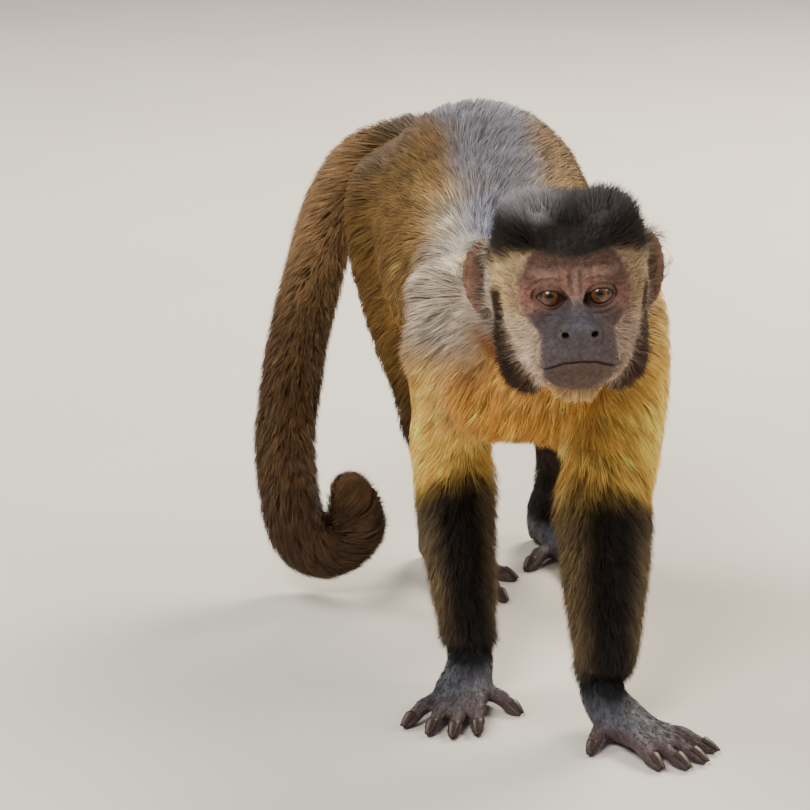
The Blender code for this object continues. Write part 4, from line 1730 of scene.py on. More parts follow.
@dataclass
class Coat:
    """Thin tapering tufts of hair that stand on the skin and follow the lie of the coat."""

    growth: Growth
    unwrap: Unwrap
    seed: int = 11
    roll: float = 0.55  # radians that a tuft is turned about its own length
    sway: float = 0.07
    lock_turn: float = 0.2  # radians that a whole lock is turned aside
    stray_share: float = 0.05
    fade: float = 0.65  # how far a tuft takes the colour of the coat it lies over
    buried: float = 0.4 * MM  # a root's depth in the skin
    own_tone: float = 0.18  # how much tufts of a lock differ in tone

    TAPER = {2: (1.0, 0.72), 3: (1.0, 0.86, 0.52)}  # width at each level, by the number of spans
    ALONG = {  # tone of each point, two to a level: darker at the root as painted shade deep in the coat, lighter towards the tip
        2: (0.55, 0.55, 0.95, 0.95, 1.2),
        3: (0.5, 0.5, 0.8, 0.8, 1.05, 1.05, 1.2),
    }

    def __post_init__(self) -> None:
        """Makes what every piece looks up."""
        surface = self.growth.skin.surface
        self.tree = tree_of(surface.points)
        self.normals = unit(surface.averaged(surface.normals(), 8))
        self.kind = self.growth.skin.kinds.argmax(axis=1)

    def roots(self, piece: CoatPiece, rng: np.random.Generator) -> tuple[Array, Array]:
        """Picks where tufts grow.

        Args:
            piece: of the coat.
            rng: the piece's own random numbers.

        Returns:
            The triangle of each tuft, and its place in it as shares of the corners.
        """
        surface = self.growth.skin.surface
        corners = surface.points[surface.triangles]
        area = np.linalg.norm(np.cross(corners[:, 1] - corners[:, 0], corners[:, 2] - corners[:, 0]), axis=1)
        wanted = [FLESH.index(name) for name in piece.kinds]
        here = np.isin(self.kind[surface.triangles[:, 0]], wanted)
        weight = area * here * self.growth.dense[surface.triangles].mean(axis=1)
        faces = rng.choice(len(weight), size=piece.count, p=weight / weight.sum())
        a, b = rng.random((2, piece.count))
        fold = a + b > 1
        a[fold], b[fold] = 1 - a[fold], 1 - b[fold]
        return faces, np.column_stack([1 - a - b, a, b])

    def build(self, piece: CoatPiece) -> Object:
        """Grows one piece of the coat.

        Args:
            piece: of the coat.

        Returns:
            The piece.
        """
        rng = np.random.default_rng(self.seed + COAT.index(piece))
        growth, surface = self.growth, self.growth.skin.surface
        faces, shares = self.roots(piece, rng)
        corners = surface.triangles[faces]

        def at(values: Array) -> Array:
            """Values of the skin's points at the roots."""
            rows = values[corners]
            return (rows * shares.reshape(shares.shape + (1,) * (rows.ndim - 2))).sum(axis=1)

        count = piece.count
        root, normal, lie = at(surface.points), unit(at(self.normals)), unit(at(growth.lie))
        length = at(growth.length) * MM * rng.uniform(0.7, 1.18, count)
        depth = at(growth.depth) * MM * rng.uniform(0.45, 1.02, count)
        width = at(growth.width) * MM * rng.uniform(0.75, 1.25, count)
        stray = rng.random(count) < self.stray_share
        depth[stray] *= 1.3
        width[stray] *= 0.65
        locks = max(count // piece.lock, 1)
        lock = nearest(tree_of(root[:locks]), root)
        aside = (rng.normal(0, self.lock_turn, locks)[lock] + rng.normal(0, 0.1, count))[:, None]
        lie = unit(lie + np.cross(normal, lie) * aside)
        steep = np.clip(depth / length, 0.05, 0.93)
        step = length * np.sqrt(1 - steep**2) / piece.spans
        stand = np.clip((steep - 0.35) / 0.4, 0, 1)
        sway = rng.normal(0, self.sway, count) * length
        ground, paths, normals, lies = root, [root - normal * self.buried], [normal], [lie]
        shades = [at(growth.colours)]
        for span in range(1, piece.spans + 1):
            share = span / piece.spans
            ground = ground + lie * step[:, None]
            near = nearest(self.tree, ground)
            normal = self.normals[near]
            ground = ground - normal * ((ground - surface.points[near]) * normal).sum(axis=1)[:, None]
            lie = unit(0.6 * lie + 0.4 * growth.lie[near])
            lie = unit(lie - normal * (lie * normal).sum(axis=1)[:, None])
            laid = 1 - (1 - share) ** 1.8
            height = depth * (laid + (share - laid) * stand)
            side = np.cross(lie, normal)
            paths.append(ground + normal * height[:, None] + side * (sway * share**2)[:, None])
            normals.append(normal)
            lies.append(lie)
            shades.append(shades[0] + (growth.colours[near] - shades[0]) * self.fade)
        pull = piece.pull * rng.uniform(0.4, 1.2, count)
        for span in range(1, piece.spans + 1):
            lead = paths[span][:locks][lock]
            paths[span] = paths[span] + (lead - paths[span]) * (pull * (span / piece.spans) ** 1.2)[:, None]
        return self.blades(piece, rng, Tufts(faces, root, width, lock, paths, normals, lies, shades))

    def blades(self, piece: CoatPiece, rng: np.random.Generator, tufts: Tufts) -> Object:
        """Turns the tufts' paths into tapering blades.

        Args:
            piece: of the coat.
            rng: the piece's random numbers.
            tufts: of the piece.

        Returns:
            The piece, with its colours and its bake map.
        """
        count, spans = piece.count, piece.spans
        each = 2 * spans + 1
        roll = rng.normal(0, self.roll, count)[:, None]
        points = np.empty((count, each, 3))
        corners = [(2 * spans - 2, 2 * spans - 1, 2 * spans)]
        place = self.unwrap.places(tufts.faces, tufts.root)[:, None, :] + np.zeros((1, each, 1))
        for level, thick in enumerate(self.TAPER[spans]):
            a, b = 2 * level, 2 * level + 1
            across = np.cross(tufts.lies[level], tufts.normals[level])
            across = unit(across * np.cos(roll) + tufts.normals[level] * np.sin(roll))
            half = across * (0.5 * thick * tufts.width)[:, None]
            points[:, a] = tufts.paths[level] - half
            points[:, b] = tufts.paths[level] + half
            if level:
                corners += [(a - 2, a - 1, b), (a - 2, b, a)]
            place[:, a : b + 1, 1] += (level / spans - 0.5) * self.unwrap.patch
            place[:, a, 0] -= self.unwrap.patch / 2
            place[:, b, 0] += self.unwrap.patch / 2
        points[:, -1] = tufts.paths[-1]
        place[:, -1, 1] += self.unwrap.patch / 2
        triangles = (np.array(corners)[None] + (np.arange(count) * each)[:, None, None]).reshape(-1, 3)
        obj = mesh_object(piece.name, points.reshape(-1, 3), triangles)
        locks = rng.normal(0, piece.streak, int(tufts.lock.max()) + 1)[tufts.lock]
        tone = np.exp(locks + rng.normal(0, self.own_tone, count))
        tint = np.repeat(np.stack(tufts.shades, axis=1), [2] * spans + [1], axis=1)
        tint = tint * tone[:, None, None] * np.array(self.ALONG[spans])[None, :, None]
        colour_attribute(obj, "tint", np.clip(tint, 0, 1).reshape(-1, 3))
        self.unwrap.lay(obj.data, place.reshape(-1, 2))
        return obj


# ---- finishes ----
def add(tree: NodeTree, kind: str, settings: dict | None = None,
        inputs: dict | None = None) -> Node:
    """Adds a node.

    Args:
        tree: that the node joins.
        kind: the node's type.
        settings: its own properties, by name.
        inputs: by name or number, a value or the socket that feeds it.

    Returns:
        The node.
    """
    made = tree.nodes.new(kind)
    for name, value in (settings or {}).items():
        setattr(made, name, value)
    for key, value in (inputs or {}).items():
        if isinstance(value, NodeSocket):
            tree.links.new(value, made.inputs[key])
        else:
            made.inputs[key].default_value = value
    return made


def principled(name: str, values: dict) -> tuple[Material, NodeTree, Node]:
    """A new material, its nodes and its shader, with the given values set on the shader.

    Args:
        name: of the material.
        values: the shader's inputs, by name.

    Returns:
        The material, its nodes and its shader.
    """
    material = bpy.data.materials.new(name)
    material.use_nodes = True
    shader = material.node_tree.nodes["Principled BSDF"]
    for key, value in values.items():
        shader.inputs[key].default_value = value
    return material, material.node_tree, shader


def ramp(tree: NodeTree, factor: NodeSocket,
         stops: list[tuple[float, tuple]]) -> NodeSocket:
    """A colour ramp through stops of place and linear colour, and its colour output.

    Args:
        tree: that the ramp joins.
        factor: what drives it.
        stops: places from 0 to 1, with their colours.

    Returns:
        The socket that gives the colour.
    """
    made = add(tree, "ShaderNodeValToRGB", inputs={"Fac": factor})
    elements = made.color_ramp.elements
    while len(elements) < len(stops):
        elements.new(0.5)
    for element, (place, colour) in zip(elements, stops):
        element.position = place
        element.color = (*colour, 1.0)
    return made.outputs["Color"]


def multiplied(tree: NodeTree, factor: float, under: NodeSocket, over: NodeSocket) -> NodeSocket:
    """A colour multiplied by another.

    Args:
        tree: of the material.
        factor: how much of the product shows.
        under: the first colour.
        over: the second.

    Returns:
        The socket that gives the result.
    """
    made = add(tree, "ShaderNodeMix", {"data_type": "RGBA", "blend_type": "MULTIPLY"},
               {"Factor": factor, 6: under, 7: over})
    return made.outputs[2]


def relief(tree: NodeTree, strength: float, distance: float, height: NodeSocket) -> NodeSocket:
    """A normal that follows a height."""
    made = add(tree, "ShaderNodeBump", inputs={"Strength": strength, "Distance": distance, "Height": height})
    return made.outputs["Normal"]


@dataclass(frozen=True)
class Hair:
    """Capuchin hair: keratin, dull with a soft sheen, coloured tuft by tuft from root to tip."""

    name: str
    roughness: float = 0.6
    specular: float = 0.2

    def material(self) -> Material:
        """The hair's material.

        Returns:
            The material.
        """
        made, tree, shader = principled(self.name, {
            "Roughness": self.roughness, "Specular IOR Level": self.specular, "IOR": 1.55,
        })
        tint = add(tree, "ShaderNodeAttribute", {"attribute_name": "tint"})
        tree.links.new(tint.outputs["Color"], shader.inputs["Base Color"])
        return made


@dataclass(frozen=True)
class Bristle:
    """Stiff dark hair of brows, lips and lids."""

    name: str = "bristle_keratin"
    colour: str = "241A16"

    def material(self) -> Material:
        """The bristles' material.

        Returns:
            The material.
        """
        made, _, _ = principled(self.name, {
            "Roughness": 0.45, "Specular IOR Level": 0.3, "Base Color": (*linear(self.colour), 1.0)})
        return made


@dataclass(frozen=True)
class BareSkin:
    """Living primate skin: matt, faintly mottled, cut into small plates by fine creases."""

    name: str = "bare_primate_skin"
    mottle_mm: float = 2.2
    crease_mm: float = 1.3
    pore_mm: float = 0.5

    def material(self) -> Material:
        """The skin's material.

        Returns:
            The material.
        """
        made, tree, shader = principled(self.name, {
            "Specular IOR Level": 0.38, "IOR": 1.4, "Subsurface Weight": 0.08,
            "Subsurface Radius": (1.0, 0.4, 0.25), "Subsurface Scale": 0.0015,
        })
        place = add(tree, "ShaderNodeTexCoord").outputs["Object"]
        tint = add(tree, "ShaderNodeAttribute", {"attribute_name": "tint"})
        mottle = add(tree, "ShaderNodeTexNoise", inputs={
            "Vector": place, "Scale": 1 / (self.mottle_mm * MM), "Detail": 4.0, "Roughness": 0.6})
        tone = ramp(tree, mottle.outputs["Fac"], [(0.3, (0.58,) * 3), (0.7, (1.38,) * 3)])
        tree.links.new(multiplied(tree, 1.0, tint.outputs["Color"], tone), shader.inputs["Base Color"])
        plates = add(tree, "ShaderNodeTexVoronoi", {"feature": "DISTANCE_TO_EDGE"}, {
            "Vector": place, "Scale": 1 / (self.crease_mm * MM), "Randomness": 1.0})
        edge = add(tree, "ShaderNodeMapRange", inputs={
            "Value": plates.outputs["Distance"], "From Min": 0.0, "From Max": 0.25})
        pores = add(tree, "ShaderNodeTexNoise", inputs={
            "Vector": place, "Scale": 1 / (self.pore_mm * MM), "Detail": 2.0})
        height = add(tree, "ShaderNodeMath", {"operation": "MULTIPLY_ADD"}, {
            0: pores.outputs["Fac"], 1: 0.5, 2: edge.outputs["Result"]})
        normal = relief(tree, 0.45, 0.25 * MM, height.outputs["Value"])
        tree.links.new(normal, shader.inputs["Normal"])
        rough = add(tree, "ShaderNodeMapRange", inputs={
            "Value": mottle.outputs["Fac"], "To Min": 0.46, "To Max": 0.66})
        tree.links.new(rough.outputs["Result"], shader.inputs["Roughness"])
        return made


@dataclass(frozen=True)
class WetEye:
    """An eyeball under its wet cornea: amber-brown iris with radial fibres, black pupil, dark rim."""

    name: str
    centre: Vector
    turn: Matrix  # its local Z looks out of the pupil
    pupil_mm: float = 1.65
    iris_mm: float = 4.7

    def material(self) -> Material:
        """The eye's material.

        Returns:
            The material.
        """
        made, tree, shader = principled(self.name, {
            "Roughness": 0.22, "IOR": 1.376, "Coat Weight": 1.0, "Coat Roughness": 0.03,
            "Coat IOR": 1.376, "Specular IOR Level": 0.5,
        })
        own = add(tree, "ShaderNodeMapping", {"vector_type": "TEXTURE"}, {
            "Vector": add(tree, "ShaderNodeTexCoord").outputs["Object"],
            "Location": self.centre, "Rotation": self.turn.to_euler()})
        flat = add(tree, "ShaderNodeVectorMath", {"operation": "MULTIPLY"}, {
            0: own.outputs["Vector"], 1: (1 / MM, 1 / MM, 0.0)})
        radius = add(tree, "ShaderNodeVectorMath", {"operation": "LENGTH"}, {0: flat.outputs["Vector"]})
        spoke = add(tree, "ShaderNodeVectorMath", {"operation": "NORMALIZE"}, {0: flat.outputs["Vector"]})
        fibres = add(tree, "ShaderNodeTexNoise", inputs={
            "Vector": spoke.outputs["Vector"], "Scale": 9.0, "Detail": 3.0})
        share = add(tree, "ShaderNodeMath", {"operation": "DIVIDE"}, {
            0: radius.outputs["Value"], 1: 2 * self.iris_mm})
        edge = 0.5
        pupil = edge * self.pupil_mm / self.iris_mm
        iris = ramp(tree, share.outputs["Value"], [
            (place, linear(code)) for place, code in (
                (0.0, "050303"), (pupil - 0.01, "060403"), (pupil + 0.02, "3A1A0C"),
                (edge * 0.55, "5A341A"), (edge * 0.8, "6E4322"), (edge * 0.91, "38200F"),
                (edge, "1A0D08"), (edge + 0.06, "4A372E"), (1.0, "6A5346"),
            )
        ])
        tone = ramp(tree, fibres.outputs["Fac"], [(0.3, (0.62,) * 3), (0.7, (1.35,) * 3)])
        tree.links.new(multiplied(tree, 0.8, iris, tone), shader.inputs["Base Color"])
        return made


@dataclass(frozen=True)
class Horn:
    """Nail keratin: hard and smooth, dark, with fine grooves along its length."""

    name: str = "nail_keratin"

    def material(self) -> Material:
        """The nails' material.

        Returns:
            The material.
        """
        made, tree, shader = principled(self.name, {
            "Roughness": 0.45, "IOR": 1.5, "Specular IOR Level": 0.35})
        grain = add(tree, "ShaderNodeTexNoise", inputs={
            "Vector": add(tree, "ShaderNodeTexCoord").outputs["Object"],
            "Scale": 1 / (1.4 * MM), "Detail": 3.0})
        colour = ramp(tree, grain.outputs["Fac"], [(0.3, linear("1E1612")), (0.7, linear("3E2D26"))])
        tree.links.new(colour, shader.inputs["Base Color"])
        tree.links.new(relief(tree, 0.3, 0.1 * MM, grain.outputs["Fac"]), shader.inputs["Normal"])
        return made


@dataclass(frozen=True)
class PlainFloor:
    """A painted studio floor: matt, pale, very faintly uneven."""

    colour: str = "D9D6D0"

    def material(self) -> Material:
        """The floor's material.

        Returns:
            The material.
        """
        made, tree, shader = principled("matt_floor_paint", {"Roughness": 0.85})
        cloud = add(tree, "ShaderNodeTexNoise", inputs={
            "Vector": add(tree, "ShaderNodeTexCoord").outputs["Object"], "Scale": 3.0, "Detail": 3.0})
        base = linear(self.colour)
        colour = ramp(tree, cloud.outputs["Fac"], [
            (0.3, tuple(c * 0.97 for c in base)), (0.7, tuple(min(c * 1.03, 1.0) for c in base))])
        tree.links.new(colour, shader.inputs["Base Color"])
        return made


# ---- eyes, nails and bristles ----
@dataclass(frozen=True)
class Eye:
    """One eyeball with its cornea, turned to look ahead and a little up; millimetres."""

    side: Side
    head: HeadFrame
    face: Face
    radius: float = 8.2
    bulge: float = 0.6  # of the cornea
    cornea: float = 4.9  # half width
    rise: float = 7.5  # degrees that the gaze is lifted
    aside: float = 3.0  # degrees to the animal's right

    def build(self) -> Object:
        """The eye, placed and dressed.

        Returns:
            The piece.
        """
        centre = self.head.matrix @ Vector(
            (self.side.value * self.head.eye_apart, self.face.eye_depth, 0.0)
        )
        lift, turn = math.radians(self.rise), math.radians(self.aside)
        gaze = Vector((-math.sin(turn), -math.cos(turn) * math.cos(lift), math.sin(lift)))
        turned = (self.head.matrix.to_3x3().normalized() @ gaze).to_track_quat("Z", "Y").to_matrix().to_4x4()
        bm = bmesh.new()
        bmesh.ops.create_uvsphere(bm, u_segments=64, v_segments=48, radius=1.0)
        edge = math.asin(self.cornea / self.radius)
        for vert in bm.verts:
            angle = vert.co.angle(Vector((0, 0, 1)), 0.0)
            swell = self.bulge * max(0.0, 1 - (angle / edge) ** 2) ** 1.5
            vert.co *= (self.radius + swell) * MM
        bm.transform(Matrix.Translation(centre) @ turned)
        eye = object_of(f"eyeball_{self.side.word}", bm)
        eye.data.shade_smooth()
        eye.data.materials.append(WetEye(f"wet_eye_{self.side.word}", centre, turned).material())
        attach(eye, "root")
        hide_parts(f"eye_{self.side.word}")
        return eye


@dataclass(frozen=True)
class Nail:
    """A long narrow nail on the end of a digit, curved over it."""

    digit: Digit
    frame: Matrix
    reach: float = 0.9 * MM  # past the fingertip
    thick: float = 0.45 * MM
    arc: float = 44.0  # degrees to each side of the middle
    rows: int = 9
    columns: int = 9

    def add_to(self, bm: bmesh.types.BMesh) -> None:
        """Adds the nail, closed, to a mesh.

        Args:
            bm: that gets it.
        """
        stations = self.digit.stations(self.frame)
        root, tip = Vector(stations[-3][:3]), Vector(stations[-1][:3])
        forward = (tip - root).normalized()
        across = self.digit.across(self.frame)
        up = across.cross(forward)
        up = up if up.z > 0 else -up
        span = (tip - root).length + self.digit.radius * 0.55 + self.reach
        sheets = []
        for lift in (0.0, self.thick):
            grid = []
            for i in range(self.rows):
                share = i / (self.rows - 1)
                radius = self.digit.radius * (0.9 - 0.42 * share**1.5) + lift * (1.0 - 0.5 * share)
                centre = root + forward * span * share + up * self.digit.radius * (0.1 - 0.22 * share**2)
                line = []
                for j in range(self.columns):
                    turn = math.radians(self.arc * (2 * j / (self.columns - 1) - 1) * (1 - 0.25 * share**3))
                    line.append(bm.verts.new(
                        centre + across * math.sin(turn) * radius + up * math.cos(turn) * radius))
                grid.append(line)
            sheets.append(grid)
        inner, outer = sheets
        for i in range(self.rows - 1):
            for j in range(self.columns - 1):
                for grid, order in ((outer, 1), (inner, -1)):
                    corners = (grid[i][j], grid[i][j + 1], grid[i + 1][j + 1], grid[i + 1][j])
                    bm.faces.new(corners[::order])
        rim = [(i, 0) for i in range(self.rows)] + [(self.rows - 1, j) for j in range(1, self.columns)]
        rim += [(i, self.columns - 1) for i in range(self.rows - 2, -1, -1)]
        rim += [(0, j) for j in range(self.columns - 2, 0, -1)]
        for (i, j), (k, m) in zip(rim, rim[1:] + rim[:1]):
            bm.faces.new((outer[i][j], outer[k][m], inner[k][m], inner[i][j]))


@dataclass(frozen=True)
class Nails:
    """The nails of one hand or foot, as one piece."""

    paw: Paw
    clear: float = 0.1 * MM  # over the floor

    def build(self, material: Material) -> Object:
        """The nails, placed and dressed.

        Args:
            material: of the nails.

        Returns:
            The piece.
        """
        bm = bmesh.new()
        for digit in self.paw.digits:
            Nail(digit, self.paw.ground.matrix).add_to(bm)
        bmesh.ops.recalc_face_normals(bm, faces=bm.faces)
        for vert in bm.verts:
            vert.co.z = max(vert.co.z, self.clear)
        obj = object_of(f"nails_{self.paw.name}", bm)
        obj.data.shade_smooth()
        obj.data.materials.append(material)
        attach(obj, "root")
        return obj


@dataclass(frozen=True)
class Bristles:
    """Stiff single hairs scattered over part of the skin by Geometry Nodes."""

    name: str
    number: float  # to a square metre where they are thickest
    length: float
    radius: float
    lean: float  # 0 stands straight out, 1 halfway to the lie of the coat
    bend: float  # of a hair's end aside, in lengths
    seed: int

    SIZES = ("Number", "Length", "Radius", "Lean", "Bend")
    SIDES = 5
    TIP = 0.01 * MM
    STRAY = 0.25  # how far a hair may lean any way
    GROWN = (0.55, 1.1)  # shortest and longest, over the length given

    def tree(self, material: Material) -> NodeTree:
        """The node group, which scatters hairs by the attribute "where" and leans them along "lie".

        Args:
            material: of the hairs.

        Returns:
            The node group.
        """
        tree = bpy.data.node_groups.new(self.name, "GeometryNodeTree")
        face = tree.interface
        face.new_socket(name="Skin", in_out="INPUT", socket_type="NodeSocketGeometry")
        for size in self.SIZES:
            face.new_socket(name=size, in_out="INPUT", socket_type="NodeSocketFloat")
        face.new_socket(name="Seed", in_out="INPUT", socket_type="NodeSocketInt")
        face.new_socket(name="Hairs", in_out="OUTPUT", socket_type="NodeSocketGeometry")
        given = add(tree, "NodeGroupInput").outputs
        where = add(tree, "GeometryNodeInputNamedAttribute", {"data_type": "FLOAT"}, {"Name": "where"})
        density = add(tree, "ShaderNodeMath", {"operation": "MULTIPLY"}, {
            0: where.outputs["Attribute"], 1: given["Number"]})
        roots = add(tree, "GeometryNodeDistributePointsOnFaces", inputs={
            "Mesh": given["Skin"], "Density": density.outputs[0], "Seed": given["Seed"]})
        rooted = add(tree, "GeometryNodeStoreNamedAttribute", {"data_type": "FLOAT_VECTOR"}, {
            "Geometry": roots.outputs["Points"], "Name": "root",
            "Value": add(tree, "GeometryNodeInputPosition").outputs["Position"]})
        cone = add(tree, "GeometryNodeMeshCone", inputs={
            "Vertices": self.SIDES, "Side Segments": self.SIDES, "Radius Top": self.TIP,
            "Radius Bottom": given["Radius"], "Depth": given["Length"]})
        height = add(tree, "ShaderNodeSeparateXYZ", inputs={
            "Vector": add(tree, "GeometryNodeInputPosition").outputs["Position"]})
        share = add(tree, "ShaderNodeMath", {"operation": "DIVIDE"}, {
            0: height.outputs["Z"], 1: given["Length"]})
        square = add(tree, "ShaderNodeMath", {"operation": "POWER"}, {0: share.outputs[0], 1: 2.0})
        reach = add(tree, "ShaderNodeMath", {"operation": "MULTIPLY"}, {
            0: given["Bend"], 1: given["Length"]})
        aside = add(tree, "ShaderNodeMath", {"operation": "MULTIPLY"}, {
            0: square.outputs[0], 1: reach.outputs[0]})
        offset = add(tree, "ShaderNodeCombineXYZ", inputs={"X": aside.outputs[0]})
        bent = add(tree, "GeometryNodeSetPosition", inputs={
            "Geometry": cone.outputs["Mesh"], "Offset": offset.outputs["Vector"]})
        lie = add(tree, "GeometryNodeInputNamedAttribute", {"data_type": "FLOAT_VECTOR"}, {"Name": "lie"})
        laid = add(tree, "ShaderNodeVectorMath", {"operation": "SCALE"}, {
            "Vector": lie.outputs["Attribute"], "Scale": given["Lean"]})
        stray = add(tree, "FunctionNodeRandomValue", {"data_type": "FLOAT_VECTOR"}, {
            0: (-self.STRAY,) * 3, 1: (self.STRAY,) * 3, "Seed": given["Seed"]})
        both = add(tree, "ShaderNodeVectorMath", {"operation": "ADD"}, {
            0: laid.outputs["Vector"], 1: stray.outputs[0]})
        along = add(tree, "ShaderNodeVectorMath", {"operation": "ADD"}, {
            0: both.outputs["Vector"], 1: roots.outputs["Normal"]})
        turned = add(tree, "FunctionNodeAlignRotationToVector", {"axis": "Z"}, {
            "Vector": along.outputs["Vector"]})
        size = add(tree, "FunctionNodeRandomValue", {"data_type": "FLOAT"}, {
            2: self.GROWN[0], 3: self.GROWN[1], "Seed": given["Seed"]})
        hairs = add(tree, "GeometryNodeInstanceOnPoints", inputs={
            "Points": rooted.outputs["Geometry"], "Instance": bent.outputs["Geometry"],
            "Rotation": turned.outputs["Rotation"], "Scale": size.outputs[1]})
        real = add(tree, "GeometryNodeRealizeInstances", inputs={"Geometry": hairs.outputs["Instances"]})
        dressed = add(tree, "GeometryNodeSetMaterial", inputs={
            "Geometry": real.outputs["Geometry"], "Material": material})
        add(tree, "NodeGroupOutput", inputs={"Hairs": dressed.outputs["Geometry"]})
        return tree

    def build(self, growth: Growth, unwrap: Unwrap, weight: Array,
              material: Material) -> Object:
        """Scatters the bristles.

        Args:
            growth: the skin's own, which tells the lie.
            unwrap: of the skin, for the bake map.
            weight: how thick they stand at each of its points, from 0 to 1.
            material: of the hairs.

        Returns:
            The bristles as one plain mesh.
        """
        surface = growth.skin.surface
        chosen = surface.triangles[(weight[surface.triangles] > 0.01).any(axis=1)]
        kept, rows = np.unique(chosen, return_inverse=True)
        patch = mesh_object(f"{self.name}_patch", surface.points[kept], rows.reshape(-1, 3))
        patch.data.attributes.new("where", "FLOAT", "POINT").data.foreach_set(
            "value", weight[kept].astype(np.float32))
        patch.data.attributes.new("lie", "FLOAT_VECTOR", "POINT").data.foreach_set(
            "vector", growth.lie[kept].astype(np.float32).ravel())
        tree = self.tree(material)
        scatter = patch.modifiers.new("scatter", "NODES")
        scatter.node_group = tree
        values = dict(zip(self.SIZES, (self.number, self.length, self.radius, self.lean, self.bend)))
        values["Seed"] = self.seed
        for item in tree.interface.items_tree:
            if item.in_out == "INPUT" and item.name in values:
                scatter[item.identifier] = values[item.name]
        graph = bpy.context.evaluated_depsgraph_get()
        mesh = bpy.data.meshes.new_from_object(patch.evaluated_get(graph))
        bpy.data.objects.remove(patch, do_unlink=True)
        obj = linked(self.name, mesh)
        roots = np.empty(3 * len(mesh.vertices), np.float32)
        mesh.attributes["root"].data.foreach_get("vector", roots)
        mesh.attributes.remove(mesh.attributes["root"])
        roots = roots.reshape(-1, 3).astype(float)
        owner = np.zeros(len(surface.points), int)
        owner[surface.triangles.ravel()] = np.repeat(np.arange(len(surface.triangles)), 3)
        places = unwrap.places(owner[nearest(tree_of(surface.points), roots)], roots)
        away = points_of(mesh) - roots
        share = np.clip(np.linalg.norm(away, axis=1) / self.length, 0, 1)
        shift = np.column_stack([np.sign(away[:, 0]) * (1 - share) / 2, share - 0.5])
        unwrap.lay(mesh, places + unwrap.patch * shift)
        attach(obj, "root")
        return obj


BRISTLES = (
    Bristles("whiskers", 26000.0, 11.0 * MM, 0.075 * MM, 0.9, 0.25, 3),
    Bristles("brow_hairs", 60000.0, 7.0 * MM, 0.06 * MM, 0.8, 0.2, 4),
    Bristles("lashes", 700000.0, 2.6 * MM, 0.04 * MM, -0.1, 0.35, 5),
)


def bristle_weights(growth: Growth) -> tuple[Array, ...]:
    """Where the whiskers, the brows' hairs and the lashes stand.

    Args:
        growth: the skin's own, with the head's regions.

    Returns:
        For each of BRISTLES, a weight at every point.
    """
    masks = growth.masks
    x, y, z = growth.skin.head.local(growth.skin.surface.points).T
    x = np.abs(x)
    lips = bump(np.hypot(x - 12, (z + 24) / 1.2), 6) * (y < 12)
    chin = bump(np.hypot(x / 1.5, z + 42), 5) * (y < 12)
    brow = bump(np.hypot((x - 13) / 2.0, z - 12), 3.5) * (y < 20)
    lash = ease(0.2, 0.35, masks["eye"]) * ease(1, 0.7, masks["eye"]) * (z > 0.6) * (y < 9)
    return lips + 0.5 * chin, brow, lash * (1.0 - masks["mouth"])


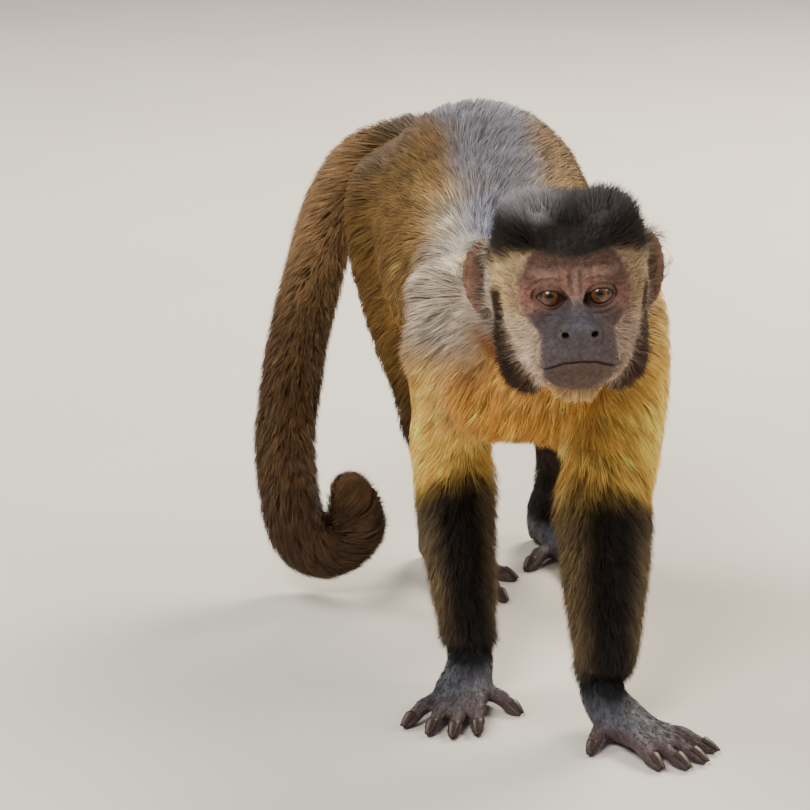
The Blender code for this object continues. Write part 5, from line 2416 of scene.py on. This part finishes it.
# ---- the studio ----
@dataclass(frozen=True)
class Studio:
    """A plain pale floor, soft lights, and the camera in front of the animal and a little above it."""

    head: HeadFrame
    azimuth: float = -7.5
    elevation: float = 14.0
    lens: float = 164.7
    distance: float = 1.9
    aside: float = 0.0867  # how far the view's middle is to the side of the eyes, in metres
    below: float = 0.0564
    floor_half: float = 12.0
    aim: float = 0.12  # how high up the lamps point
    surround: float = 0.32

    LAMPS = (  # place, size, watts, colour
        ((-1.1, -1.7, 2.2), 1.1, 66.0, "FFF6EA"),
        ((2.0, -0.4, 1.6), 1.2, 26.0, "FFF4E2"),
        ((1.2, 1.7, 1.7), 0.9, 90.0, "FFF0D8"),
        ((-1.3, 1.3, 2.1), 0.9, 45.0, "FFF6EA"),
    )

    def camera(self) -> None:
        """The camera at the viewing angle."""
        a, e = math.radians(self.azimuth), math.radians(self.elevation)
        right = Vector((math.cos(a), math.sin(a), 0.0))
        back = Vector((math.sin(a) * math.cos(e), -math.cos(a) * math.cos(e), math.sin(e)))
        up = back.cross(right)
        middle = between_eyes() - right * self.aside - up * self.below
        camera = linked("camera", bpy.data.cameras.new("camera"))
        camera.data.lens = self.lens
        camera.data.sensor_width = 36.0
        turned = Matrix((right, up, back)).transposed().to_4x4()
        camera.matrix_world = Matrix.Translation(middle + back * self.distance) @ turned
        bpy.context.scene.camera = camera

    def floor(self) -> None:
        """The floor, at z = 0."""
        half = self.floor_half
        corners = np.array([(-half, -half, 0), (half, -half, 0), (half, half, 0), (-half, half, 0)])
        floor = mesh_object("floor", corners, np.array([(0, 1, 2), (0, 2, 3)]))
        floor.data.materials.append(PlainFloor().material())

    def lights(self) -> None:
        """Soft lamps all round, and a pale surround."""
        for place, size, watts, colour in self.LAMPS:
            lamp = bpy.data.lights.new("lamp", "AREA")
            lamp.size = size
            lamp.energy = watts
            lamp.color = linear(colour)
            obj = linked("lamp", lamp)
            obj.location = place
            obj.rotation_mode = "QUATERNION"
            obj.rotation_quaternion = (Vector((0, 0, self.aim)) - Vector(place)).to_track_quat("-Z", "Y")
        world = bpy.data.worlds.new("surround")
        world.use_nodes = True
        backdrop = world.node_tree.nodes["Background"]
        backdrop.inputs["Color"].default_value = (*linear("E6E8EC"), 1.0)
        backdrop.inputs["Strength"].default_value = self.surround
        bpy.context.scene.world = world

    def build(self) -> None:
        """The whole studio."""
        self.camera()
        self.floor()
        self.lights()


# ---- all together ----
def dress_skin(growth: Growth) -> Object:
    """The skin as a piece, which stands for every CAD node of flesh.

    Args:
        growth: what tells the skin's colours.

    Returns:
        The piece.
    """
    skin = growth.skin
    shown = skin.thinned()
    obj = mesh_object("skin", shown.points, shown.triangles)
    LOG.info("skin: %d triangles shown", len(shown.triangles))
    # painted shade: the skin is darker where the coat over it is deep
    coated = ease(1.5, 4, growth.depth)
    colours = growth.colours * (1.0 - 0.4 * coated)[:, None]
    colour_attribute(obj, "tint", colours[nearest(tree_of(skin.surface.points), shown.points)])
    obj.data.materials.append(BareSkin().material())
    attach(obj, "root")
    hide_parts(*skin.flesh_nodes())
    return obj


def report(piece: Object) -> None:
    """Logs a piece and how many faces it has."""
    LOG.info("%s: %d faces", piece.name, len(piece.data.polygons))


def main() -> None:
    """Builds the monkey and its studio."""
    logging.basicConfig(level=logging.INFO, format="%(message)s")
    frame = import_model()
    head = HeadFrame()
    paws = (
        HAND.paw("hand", Side.RIGHT, (0.0, -0.0068), -20.0),
        HAND.paw("hand", Side.LEFT, (0.0, -0.0112), 28.0),
        FOOT.paw("foot", Side.RIGHT, (0.0006, 0.014), 6.0),
        FOOT.paw("foot", Side.LEFT, (0.0015, 0.0166), 12.0),
    )
    skin = Skin(frame, head, tuple(Ear(side, head) for side in Side), paws)
    skin.build()
    growth = Markings(skin).build()
    dress_skin(growth)
    for side in Side:
        eye = Eye(side, head, Face(head)).build()
        report(eye)
    horn = Horn().material()
    for paw in paws:
        nails = Nails(paw).build(horn)
        report(nails)
    coat = Coat(growth, Unwrap(skin))
    finishes = {name: Hair(f"hair_{name}").material() for name in sorted({piece.slot for piece in COAT})}
    for piece in COAT:
        obj = coat.build(piece)
        obj.data.materials.append(finishes[piece.slot])
        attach(obj, "root")
        report(obj)
    keratin = Bristle().material()
    for bristles, weight in zip(BRISTLES, bristle_weights(growth)):
        obj = bristles.build(growth, coat.unwrap, weight, keratin)
        report(obj)
    Studio(head).build()


if __name__ == "__main__":
    main()
